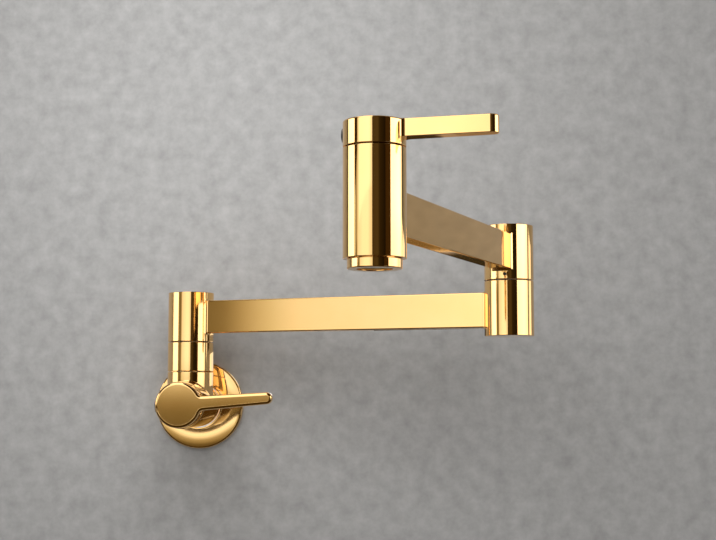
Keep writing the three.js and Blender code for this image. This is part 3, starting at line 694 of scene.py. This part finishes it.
def valve_body():
    """A barrel out of the wall with an upright stub of the same size and a fillet."""
    shell = Shell()
    low, high = box_mm("valve_body")
    middle = RISER.y
    half_count = SIDES // 2
    ball = COLUMN_RADIUS + STUB_FILLET
    turns = [math.radians(-QUARTER_TURN + HALF_TURN * k / half_count) for k in range(SIDES)]

    def barrel_row(radius, y):
        return shell.row((radius * math.sin(a), y, radius * math.cos(a)) for a in turns)

    def contact_row(side):
        return shell.row(
            (
                COLUMN_RADIUS * math.sin(a),
                middle + side * ball * max(0, math.cos(a)),
                COLUMN_RADIUS * math.cos(a),
            )
            for a in turns
        )

    front = rounded([
        (0, low.y + CHAMBER_DEPTH, 0), (CHAMBER_RADIUS, low.y + CHAMBER_DEPTH, 0),
        (CHAMBER_RADIUS, low.y, 0), (COLUMN_RADIUS, low.y, SEAM_ROUND), (COLUMN_RADIUS, middle, 0),
    ])
    front_rows = [barrel_row(r, y) for r, y in front[1:-1]]
    shell.skin(front_rows + [contact_row(-1)])
    shell.lid(front_rows[0])
    back = rounded([
        (COLUMN_RADIUS, middle, 0), (COLUMN_RADIUS, high.y, SEAM_ROUND), (INLET_RADIUS, high.y, 0),
        (INLET_RADIUS, high.y - INLET_DEPTH, 0), (0, high.y - INLET_DEPTH, 0),
    ])
    back_rows = [barrel_row(r, y) for r, y in back[1:-1]]
    shell.skin([contact_row(1)] + back_rows)
    shell.lid(back_rows[-1])

    upper_turns = turns[:half_count + 1]
    for side in (-1, 1):
        rows = []
        for k in range(2 * ARC_STEPS + 1):
            rows.append(shell.row(
                fillet_point(a, side, k / (2 * ARC_STEPS), middle, ball) for a in upper_turns
            ))
        shell.skin(rows, closed=False)

    around = [(a, -1) for a in upper_turns] + [(a, 1) for a in reversed(upper_turns[1:-1])]

    def stub_row(radius, level):
        return shell.row(
            (radius * math.sin(a), middle + side * radius * math.cos(a), level(a))
            for a, side in around
        )

    stub = rounded([
        (COLUMN_RADIUS, 0, 0), (COLUMN_RADIUS, high.z, SEAM_ROUND), (ROOT_BORE, high.z, 0),
        (ROOT_BORE, RISER_BORE_FLOOR, 0), (0, RISER_BORE_FLOOR, 0),
    ])
    stub_rows = [stub_row(COLUMN_RADIUS, lambda a: ball * math.cos(a))]
    stub_rows += [stub_row(r, lambda a, z=z: z) for r, z in stub[1:-1]]
    shell.skin(stub_rows)
    shell.lid(stub_rows[-1])
    piece("valve_body_polished", shell, "valve_body", "root", GOLD)


def fillet_point(angle, side, share, middle, ball):
    """A point on the ball that rolls between the barrel and the stub."""
    centre = Vector((
        ball * math.sin(angle), middle + side * ball * math.cos(angle), ball * math.cos(angle),
    ))
    to_barrel = Vector((-math.sin(angle), 0, -math.cos(angle)))
    to_stub = Vector((-math.sin(angle), -side * math.cos(angle), 0))
    if to_barrel.angle(to_stub) < TINY:
        return centre + to_barrel * STUB_FILLET
    return centre + to_barrel.slerp(to_stub, share) * STUB_FILLET


def wall_flange():
    """A slightly crowned disc with a neck round the valve body."""
    low, high = box_mm("wall_flange")
    outer = high.x
    height = -low.y
    face_radius = outer - FLANGE_ROUND
    face = []
    for k in range(FLANGE_STEPS + 1):
        share = 1 - k / FLANGE_STEPS
        radius = FLANGE_NECK + (face_radius - FLANGE_NECK) * share
        face.append((radius, FLANGE_THICKNESS - FLANGE_CROWN * share ** 3))
    rim = face[0][1]
    centre = (face_radius, rim - FLANGE_ROUND)
    edge = arc((outer, centre[1]), (face_radius, rim), centre, steps=2 * ARC_STEPS)
    neck = rounded([
        (FLANGE_NECK, FLANGE_THICKNESS, 0), (FLANGE_NECK, height, FLANGE_NECK_ROUND),
        (FLANGE_HOLE, height, 0),
    ])
    hollow = FLANGE_THICKNESS - FLANGE_WEB
    profile = [
        (outer, 0), *edge, *face[1:], *neck[1:],
        (FLANGE_HOLE, hollow), (FLANGE_LAND, hollow), (FLANGE_LAND, 0), (outer, 0),
    ]
    shell = Shell()
    lathe(shell, out_of_wall(), profile)
    piece("wall_flange_polished", shell, "wall_flange", "root", GOLD)


def inlet_nipple():
    """A pipe nipple with a helical thread."""
    low, high = box_mm("inlet_nipple")
    outer = high.x
    length = high.y - low.y
    count = round(length / THREAD_PITCH * THREAD_ROWS)
    angles = [2 * math.pi * k / SMALL_SIDES for k in range(SMALL_SIDES)]
    shell = Shell()

    def ring(y, radii):
        return shell.row(
            (radius * math.cos(angle), y, radius * math.sin(angle))
            for radius, angle in zip(radii, angles)
        )

    rows = []
    for j in range(count + 1):
        y = low.y + length * j / count
        limit = outer - max(0, NIPPLE_CHAMFER - min(y - low.y, high.y - y))
        radii = []
        for k in range(SMALL_SIDES):
            phase = (y / THREAD_PITCH - k / SMALL_SIDES) % 1
            radius = outer - THREAD_DEPTH * (0.5 - 0.5 * math.cos(2 * math.pi * phase))
            radii.append(min(radius, limit))
        rows.append(ring(y, radii))
    inner = [ring(y, [NIPPLE_BORE] * SMALL_SIDES) for y in (high.y, low.y)]
    shell.skin(rows + inner + [rows[0]])
    piece("inlet_nipple_threaded", shell, "inlet_nipple", "root", BRASS)


# -------------------------------------------------------------- the handles

def lever_outline(cap_radius, reach):
    """Points, outward directions and edge shares of the handle seen along its axis.

    The round cap comes first, from the upper root fillet round the back to the lower one,
    then the lever. Returns them with the number of faces round the cap."""
    tip = reach - LEVER_TIP_RADIUS
    slope = (LEVER_TIP_RADIUS - LEVER_ROOT_HALF) / (tip - cap_radius)
    lift = (LEVER_TIP_RADIUS + LEVER_FILLET) * math.hypot(1, slope) - slope * tip
    distance = cap_radius + LEVER_FILLET
    across = 1 + slope ** 2
    under = (slope * lift) ** 2 - across * (lift ** 2 - distance ** 2)
    x = (-slope * lift + math.sqrt(under)) / across
    y = slope * x + lift
    cap_angle = math.atan2(y, x)
    edge_angle = math.atan(slope) + math.pi / 2
    cap_count = 2 * round((math.pi - cap_angle) / (2 * math.pi) * SIDES)
    outline = []
    for k in range(cap_count + 1):
        angle = cap_angle + (2 * math.pi - 2 * cap_angle) * k / cap_count
        outward = Vector((math.cos(angle), math.sin(angle)))
        outline.append((outward * cap_radius, outward, 0))
    lower = []
    for k in range(1, LEVER_FILLET_STEPS + 1):
        share = k / LEVER_FILLET_STEPS
        angle = math.pi - cap_angle + (edge_angle - math.pi + cap_angle) * k / LEVER_FILLET_STEPS
        toward = Vector((math.cos(angle), math.sin(angle)))
        lower.append((Vector((x, -y)) + toward * LEVER_FILLET, -toward, share))
    round_tip = []
    for k in range(LEVER_TIP_STEPS + 1):
        angle = -edge_angle + 2 * edge_angle * k / LEVER_TIP_STEPS
        outward = Vector((math.cos(angle), math.sin(angle)))
        round_tip.append((Vector((tip, 0)) + outward * LEVER_TIP_RADIUS, outward, 1))
    upper = [
        (Vector((point.x, -point.y)), Vector((outward.x, -outward.y)), share)
        for point, outward, share in reversed(lower)
    ]
    return outline + lower + round_tip + upper, cap_count


def lever_rows(shell, axis, outline, level, height, edge):
    """Rows from the edge of a handle's outer face down to its lever's underside.

    Returns them with the number of the first one beside the plug's hole."""
    def row(inset, up, share_inset=0, share_up=0):
        points = []
        for point, outward, share in outline:
            place = point - outward * (inset + share_inset * share)
            points.append(axis.flat(place.x, place.y, level + up + share_up * share))
        return shell.row(points)

    rows = [
        row(edge * (1 - math.cos(t)), height - edge * (1 - math.sin(t)))
        for t in reversed(quarter(HANDLE_EDGE_STEPS))
    ]
    first = len(rows)
    underside = height - LEVER_DEPTH
    hole_top = min(PLUG_LEVEL + PLUG_RADIUS + PLUG_HOLE_MARGIN, height - edge - TINY)
    for k in range(HANDLE_WINDOW_STEPS):
        drop = (underside + LEVER_MARGIN - hole_top) * k / HANDLE_WINDOW_STEPS
        rows.append(row(0, hole_top + drop))
    for t in quarter(ARC_STEPS):
        lift = LEVER_UNDER_EDGE * (1 - math.sin(t))
        rows.append(row(0, underside, LEVER_UNDER_EDGE * (1 - math.cos(t)), lift))
    return rows, first


def handle_foot(shell, axis, cap, lowest, cap_radius, level, underside, window):
    """Closes a lever's underside and turns the round foot and socket below it.

    Returns the row under the plug's hole."""
    cap_angle = math.degrees(cap[0][0].to_3d().angle(Vector((1, 0, 0))))
    steps = round(2 * cap_angle / FULL_TURN * SIDES)
    hidden = [-cap_angle + 2 * cap_angle * k / steps for k in range(1, steps)]
    at_root = shell.row(axis.point(cap_radius, angle, level + underside) for angle in hidden)
    shell.lid(lowest[len(cap) - 1:] + [lowest[0]] + list(reversed(at_root)))
    turns = [math.degrees(math.atan2(point.y, point.x)) for point, _, _ in cap] + hidden

    def circle(radius, up):
        return shell.row(axis.point(radius, angle, level + up) for angle in turns)

    hole_bottom = PLUG_LEVEL - PLUG_RADIUS - PLUG_HOLE_MARGIN
    under_hole = circle(cap_radius, hole_bottom)
    shell.strip(lowest[:len(cap)] + at_root, under_hole, skip=window)
    foot = rounded([
        (cap_radius, hole_bottom, 0), (cap_radius, 0, SEAM_ROUND), (SOCKET_RADIUS, 0, 0),
        (SOCKET_RADIUS, SOCKET_DEPTH, 0), (0, SOCKET_DEPTH, 0),
    ])
    foot_rows = [under_hole] + [circle(r, h) for r, h in foot[1:-1]]
    shell.skin(foot_rows)
    shell.lid(foot_rows[-1])
    return under_hole


def handle(name, node, body, axis, cap_radius, reach, level, height, edge):
    """A round cap and a lever in one piece, with a rounded edge on the outer face."""
    shell = Shell()
    outline, cap_count = lever_outline(cap_radius, reach)
    middle = cap_count // 2
    half = math.ceil((PLUG_RADIUS + PLUG_HOLE_MARGIN) / (2 * math.pi * cap_radius / SIDES))
    window = range(middle - half, middle + half)
    rows, first = lever_rows(shell, axis, outline, level, height, edge)
    shell.lid(rows[0])
    for k, (high, low) in enumerate(zip(rows, rows[1:])):
        shell.strip(high, low, skip=window if k >= first else ())
    under_hole = handle_foot(
        shell, axis, outline[:cap_count + 1], rows[-1], cap_radius, level,
        height - LEVER_DEPTH, window,
    )
    drilled(
        shell, axis, cap_radius, HALF_TURN, level + PLUG_LEVEL, PLUG_RADIUS, PLUG_HOLE_DEPTH,
        rows[first:] + [under_hole], list(range(middle - half, middle + half + 1)),
    )
    piece(name, shell, node, body, GOLD)


def plug(name, node, body, axis, cap_radius, level):
    """The cover of the handle's set screw, with a slightly domed face."""
    shell = Shell()
    start = axis.origin + axis.along * (level + PLUG_LEVEL)
    reach = cap_radius + PLUG_PROUD
    side = PLUG_RADIUS - PLUG_SIDE_GAP
    foot = cap_radius - PLUG_HOLE_DEPTH + PLUG_FOOT_GAP
    profile = [(0, foot), (side, foot)]
    profile += rounded([
        (side, 0, 0), (side, reach - PLUG_CROWN, PLUG_ROUND), (0, reach - PLUG_CROWN, 0),
    ])[1:-1]
    rim = profile[-1][0]
    for k in range(1, PLUG_CROWN_STEPS):
        share = 1 - k / PLUG_CROWN_STEPS
        profile.append((rim * share, reach - PLUG_CROWN * share ** 2))
    profile.append((0, reach))
    lathe(shell, Axis(start, axis.direction(HALF_TURN), axis.along), profile, sides=PLUG_SIDES)
    piece(name, shell, node, body, PLUG)


def measured_handle(node, axis_of):
    """A CAD handle's axis, zero along its lever, then cap radius, reach and end levels."""
    plain = axis_of(0)
    offsets = [
        Vector(vertex.co) / MM - plain.origin for vertex in frame["nodes"][node].data.vertices
    ]
    levels = [offset.dot(plain.along) for offset in offsets]
    sides = [offset - plain.along * level for offset, level in zip(offsets, levels)]
    tip = max(sides, key=lambda side: side.length)
    turn = math.degrees(math.atan2(tip.dot(plain.side), tip.dot(plain.zero)))
    low, high = min(levels), max(levels)
    below_lever = high - LEVER_DEPTH - LEVER_MARGIN
    cap_radius = max(side.length for side, level in zip(sides, levels) if level < below_lever)
    return axis_of(turn), cap_radius, tip.length, low, high


def handles():
    for place, axis_of in (
        ("wall", out_of_wall),
        ("spout", lambda turn: upright(SPOUT, turn)),
    ):
        node = f"{place}_handle"
        body = f"{place}_lever"
        axis, cap_radius, reach, low, high = measured_handle(node, axis_of)
        handle(
            f"{place}_handle_polished", node, body, axis, cap_radius, reach, low, high - low,
            HANDLE_EDGES[place],
        )
        plug(f"{place}_plug_moulded", f"{node}_plug", body, axis, cap_radius, low)


# ------------------------------------------------------------- the aerator

def aerator():
    """A moulded insert: a ring round a honeycomb of straight, blind cells."""
    low, high = box_mm("aerator_insert")
    outer = (high.x - low.x) / 2
    inner = HONEYCOMB_PITCH * (HONEYCOMB_RINGS - HONEYCOMB_COVERED)
    shell = Shell()
    axis = upright(SPOUT)
    lathe(shell, axis, rounded([
        (inner, low.z, INSERT_ROUND), (outer, low.z, INSERT_ROUND), (outer, high.z, 0),
        (inner, high.z, 0),
    ], closed=True), sides=SMALL_SIDES)
    corner = HONEYCOMB_PITCH / math.sqrt(3)
    front = low.z + HONEYCOMB_SET_BACK
    turns = [math.radians(FULL_TURN / HEXAGON * (k + 0.5)) for k in range(HEXAGON)]

    def hexagon(x, y, radius, z):
        return shell.row(
            axis.flat(x + radius * math.cos(turn), y + radius * math.sin(turn), z)
            for turn in turns
        )

    for i in range(-HONEYCOMB_RINGS, HONEYCOMB_RINGS + 1):
        for j in range(-HONEYCOMB_RINGS, HONEYCOMB_RINGS + 1):
            if abs(i + j) > HONEYCOMB_RINGS:
                continue
            x = HONEYCOMB_PITCH * (i + j / 2)
            y = HONEYCOMB_PITCH * j * math.sqrt(3) / 2
            rows = [
                hexagon(x, y, corner, front),
                hexagon(x, y, corner - HONEYCOMB_WALL, front),
                hexagon(x, y, corner - HONEYCOMB_WALL, front + HONEYCOMB_DEPTH),
            ]
            shell.skin(rows)
            shell.lid(rows[-1])
    piece("aerator_honeycomb", shell, "aerator_insert", "arm_two", NYLON)


# -------------------------------------------------------------- the studio

def blank_material(name):
    """A material with nothing but its output, whose surface socket comes last."""
    material = bpy.data.materials.new(name)
    material.use_nodes = True
    nodes = material.node_tree.nodes
    nodes.clear()
    output = nodes.new("ShaderNodeOutputMaterial")
    return material, nodes, material.node_tree.links, output.inputs["Surface"]


def arithmetic(nodes, operation, second=None):
    node = nodes.new("ShaderNodeMath")
    node.operation = operation
    if second is not None:
        node.inputs[1].default_value = second
    return node


def one_sided(name, dark, light):
    """A plain painted surface that is clear from behind."""
    material, nodes, links, surface = blank_material(name)
    paint = nodes.new("ShaderNodeBsdfDiffuse")
    cloud = noise(nodes, links, *WALL_MOTTLING)
    links.new(tinted(nodes, links, cloud, dark, light), paint.inputs["Color"])
    clear = nodes.new("ShaderNodeBsdfTransparent")
    side = nodes.new("ShaderNodeNewGeometry")
    mix = nodes.new("ShaderNodeMixShader")
    links.new(side.outputs["Backfacing"], mix.inputs["Fac"])
    links.new(paint.outputs["BSDF"], mix.inputs[1])
    links.new(clear.outputs["BSDF"], mix.inputs[2])
    links.new(mix.outputs["Shader"], surface)
    return material


def sheet(name, corners, material, faces=((0, 1, 2, 3),)):
    """A flat part of the studio, which isn't part of the object."""
    mesh = bpy.data.meshes.new(name)
    mesh.from_pydata([Vector(corner) * MM for corner in corners], [], faces)
    mesh.materials.append(material)
    made = linked(name, mesh)
    made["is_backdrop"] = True
    return made


def wall_rows():
    """Points round the pipe's hole in the wall, then as many on the wall's outer edge."""
    turns = [2 * math.pi * k / SIDES for k in range(SIDES)]
    hole = [(WALL_HOLE * math.cos(turn), 0, WALL_HOLE * math.sin(turn)) for turn in turns]
    edge = []
    for turn in turns:
        across, up = math.cos(turn), math.sin(turn)
        height = ROOM if up > 0 else FLOOR_DROP
        reach = min(ROOM / max(abs(across), TINY), height / max(abs(up), TINY))
        edge.append((reach * across, 0, reach * up))
    return hole + edge


def backdrop():
    wall_faces = [
        (k, SIDES + k, SIDES + (k + 1) % SIDES, (k + 1) % SIDES) for k in range(SIDES)
    ]
    wall_paint = one_sided("grey_wall", WALL_COLOUR, WALL_STAIN)
    sheet("wall", wall_rows(), wall_paint, wall_faces)
    sheet("floor", [
        (-ROOM, -ROOM, -FLOOR_DROP), (ROOM, -ROOM, -FLOOR_DROP), (ROOM, 0, -FLOOR_DROP),
        (-ROOM, 0, -FLOOR_DROP),
    ], one_sided("pale_floor", FLOOR_COLOUR, FLOOR_COLOUR))


def strength_curve(nodes, stops):
    """Straight lines through (place, strength) stops."""
    curve = nodes.new("ShaderNodeFloatCurve")
    points = curve.mapping.curves[0].points
    while len(points) < len(stops):
        points.new(0.5, 0.5)
    for point, (at, strength) in zip(points, stops):
        point.location = (at, strength / BRIGHTEST)
        point.handle_type = "VECTOR"
    curve.mapping.update()
    return curve


def warmth_ramp(nodes):
    """The tint of a light by its strength, as a share of WARM_BELOW."""
    ramp = nodes.new("ShaderNodeValToRGB")
    stops = ramp.color_ramp.elements
    while len(stops) < len(WARMTH):
        stops.new(0.5)
    for stop, (at, colour) in zip(stops, WARMTH):
        stop.position = at
        stop.color = (*colour, 1)
    return ramp


def glowing(name, stops_along, stops_up):
    """Light whose strength follows two curves, along and up the sheet."""
    material, nodes, links, surface = blank_material(name)
    glow = nodes.new("ShaderNodeEmission")
    place = nodes.new("ShaderNodeUVMap")
    split = nodes.new("ShaderNodeSeparateXYZ")
    links.new(place.outputs["UV"], split.inputs["Vector"])
    product = arithmetic(nodes, "MULTIPLY")
    for k, (socket, stops) in enumerate((("X", stops_along), ("Y", stops_up))):
        curve = strength_curve(nodes, stops)
        links.new(split.outputs[socket], curve.inputs["Value"])
        links.new(curve.outputs["Value"], product.inputs[k])
    strength = arithmetic(nodes, "MULTIPLY", BRIGHTEST ** 2)
    links.new(product.outputs["Value"], strength.inputs[0])
    links.new(strength.outputs["Value"], glow.inputs["Strength"])
    share = arithmetic(nodes, "DIVIDE", WARM_BELOW)
    links.new(strength.outputs["Value"], share.inputs[0])
    warmth = warmth_ramp(nodes)
    links.new(share.outputs["Value"], warmth.inputs["Fac"])
    links.new(warmth.outputs["Color"], glow.inputs["Color"])
    links.new(glow.outputs["Emission"], surface)
    return material


def card(name, corners, stops_along, stops_up):
    """A light sheet that only polished surfaces see."""
    made = sheet(name, corners, glowing(name, stops_along, stops_up))
    layer = made.data.uv_layers.new(name="UVMap")
    for loop, corner in zip(layer.data, ((0, 0), (1, 0), (1, 1), (0, 1))):
        loop.uv = corner
    made.visible_camera = False
    made.visible_diffuse = False
    made.visible_shadow = False


def upright_card(name, start, end, levels, stops_along):
    """A card between two plan points, with strengths given at levels above the valve axis."""
    low = levels[0][0]
    high = levels[-1][0]
    stops_up = [((level - low) / (high - low), strength) for level, strength in levels]
    card(name, [
        (*start, low), (*end, low), (*end, high), (*start, high),
    ], stops_along, stops_up)


def cards():
    upright_card(
        "left_card", (-850, -20), (-850, -600),
        [(-60, 0.05), (0, 0.3), (30, 0.9), (60, 1), (420, 1.2)],
        [(0, 1.3), (0.25, 2.3), (0.92, 2.5), (1, 0.4)],
    )
    upright_card(
        "front_card", FRONT_LEFT, FRONT_RIGHT,
        [
            (-26, 0.1), (-22, 0.12), (-8, 0.15), (5, 0.24), (18, 0.42), (30, 0.75), (50, 1),
            (FRONT_SPLIT, 1),
        ],
        [
            (0, 0.6), (0.05, 0.4), (0.12, 0.24), (0.25, 0.2), (0.3, 0.27), (0.36, 0.72),
            (0.42, 1.1), (0.6, 1.3), (0.7, 1.45), (0.88, 1.45), (0.94, 1.15), (0.985, 1.05), (1, 0),
        ],
    )
    tall_start = FRONT_LEFT.lerp(FRONT_RIGHT, TALL_FROM)
    upright_card(
        "far_front_card", FRONT_LEFT, tall_start, [(FRONT_SPLIT, 1), (250, 1)],
        [(0, 1.35), (0.14, 1.28), (0.33, 0.57), (0.64, 0.2), (0.83, 0.6), (1, 0.78)],
    )
    upright_card(
        "tall_card", tall_start, FRONT_RIGHT, [(FRONT_SPLIT, 1), (CARD_TOP, 1.1)],
        [(0, 0.78), (0.1, 0.96), (0.19, 1.3), (0.27, 1.6), (0.85, 1.7), (0.98, 1.2), (1, 0)],
    )
    upright_card(
        "right_card", (480, -540), (665, -110),
        [(-60, 0.03), (0, 0.3), (30, 0.9), (60, 1), (100, 1), (160, 1.35), (300, 1.35)],
        [(0, 0), (0.02, 1.9), (0.6, 2.4), (0.9, 1.8), (1, 0.9)],
    )
    upright_card(
        "low_card", (-300, -720), (60, -720),
        [(-345, 0.05), (-151, 0.15), (-91, 0.5), (-52, 1.5), (-40, 1.6)],
        [(0, 0), (0.1, 1), (0.9, 1), (1, 0)],
    )
    upright_card(
        "gap_card", (90, -1000), (700, -1000), [(-345, 1), (CARD_TOP, 1)],
        [(0, 0.07), (0.3, 0.08), (0.45, 0.03), (1, 0.01)],
    )
    card("top_card", [
        (-500, -700, CARD_TOP), (80, -700, CARD_TOP), (80, -150, CARD_TOP), (-500, -150, CARD_TOP),
    ], [(0, 2), (1, 2)], [(0, 1), (1, 1)])
    card("under_card", [
        (-1200, -1500, -348), (1200, -1500, -348), (1200, -5, -348), (-1200, -5, -348),
    ], [(0, 0.22), (1, 0.22)], [(0, 0.22), (1, 0.22)])
    for name, start, end, low in (
        ("left_flag", (-500, -42), (-640, -44), 0), ("right_flag", (560, -44), (700, -16), 150),
    ):
        upright_card(name, start, end, [(low, 0.05), (CARD_TOP, 0.05)], [(0, 0.2), (1, 0.2)])
    upright_card("shade", (125, -3), (235, -3), [(43, 0.2), (78, 0.2)], [(0, 0.2), (1, 0.2)])
    card("near_wall_card", [
        (22, -2, 14), (100, -2, 14), (100, -2, 38), (22, -2, 38),
    ], [(0, 0.9), (0.4, 1.3), (1, 1.5)], [(0, 1), (1, 1)])
    card("far_wall_card", [
        (460, -2, 52), (900, -2, 52), (900, -2, 200), (460, -2, 130),
    ], [(0, 1.2), (0.1, 1.5), (1, 1.5)], [(0, 1), (1, 1)])


def soft_light(name, place, aim, width, power):
    """A large square lamp that lights the wall, the floor and the dull pieces."""
    data = bpy.data.lights.new(name, "AREA")
    data.shape = "RECTANGLE"
    data.size = width
    data.size_y = width
    data.energy = power
    made = linked(name, data)
    made.location = place
    made.rotation_euler = (Vector(aim) - Vector(place)).to_track_quat("-Z", "Y").to_euler()
    made.visible_camera = False
    made.visible_glossy = False


def lights():
    cards()
    for lamp in LAMPS:
        soft_light(*lamp)


def world():
    """Dark and warm on the room's side, pale behind the wall and to the camera."""
    made = bpy.data.worlds.new("studio")
    made.use_nodes = True
    nodes = made.node_tree.nodes
    links = made.node_tree.links
    place = nodes.new("ShaderNodeTexCoord")
    split = nodes.new("ShaderNodeSeparateXYZ")
    behind = arithmetic(nodes, "GREATER_THAN", 0)
    path = nodes.new("ShaderNodeLightPath")
    pale = arithmetic(nodes, "MAXIMUM")
    mix = nodes.new("ShaderNodeMix")
    mix.data_type = "RGBA"
    mix.inputs["A"].default_value = ROOM_GLOW
    mix.inputs["B"].default_value = PALE_GLOW
    links.new(place.outputs["Generated"], split.inputs["Vector"])
    links.new(split.outputs["Y"], behind.inputs[0])
    links.new(behind.outputs["Value"], pale.inputs[0])
    links.new(path.outputs["Is Camera Ray"], pale.inputs[1])
    links.new(pale.outputs["Value"], mix.inputs["Factor"])
    links.new(mix.outputs["Result"], nodes["Background"].inputs["Color"])
    bpy.context.scene.world = made


# -------------------------------------------------------------- the camera

def camera():
    data = bpy.data.cameras.new("camera")
    data.lens = CAMERA_LENS
    data.clip_start = CAMERA_NEAR
    made = linked("camera", data)
    made.location = Vector(CAMERA_PLACE) * MM
    made.rotation_euler = (
        math.radians(QUARTER_TURN + CAMERA_PITCH), 0, math.radians(CAMERA_YAW),
    )
    bpy.context.scene.camera = made


camera()
dress_frame()
columns()
nozzle()
arms()
valve_body()
wall_flange()
inlet_nipple()
handles()
aerator()
backdrop()
lights()
world()
bpy.context.scene.view_settings.view_transform = "Standard"

boxes = {"cad": cad_box, "visual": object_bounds()}
{name: [list(corner) for corner in corners] for name, corners in boxes.items()}
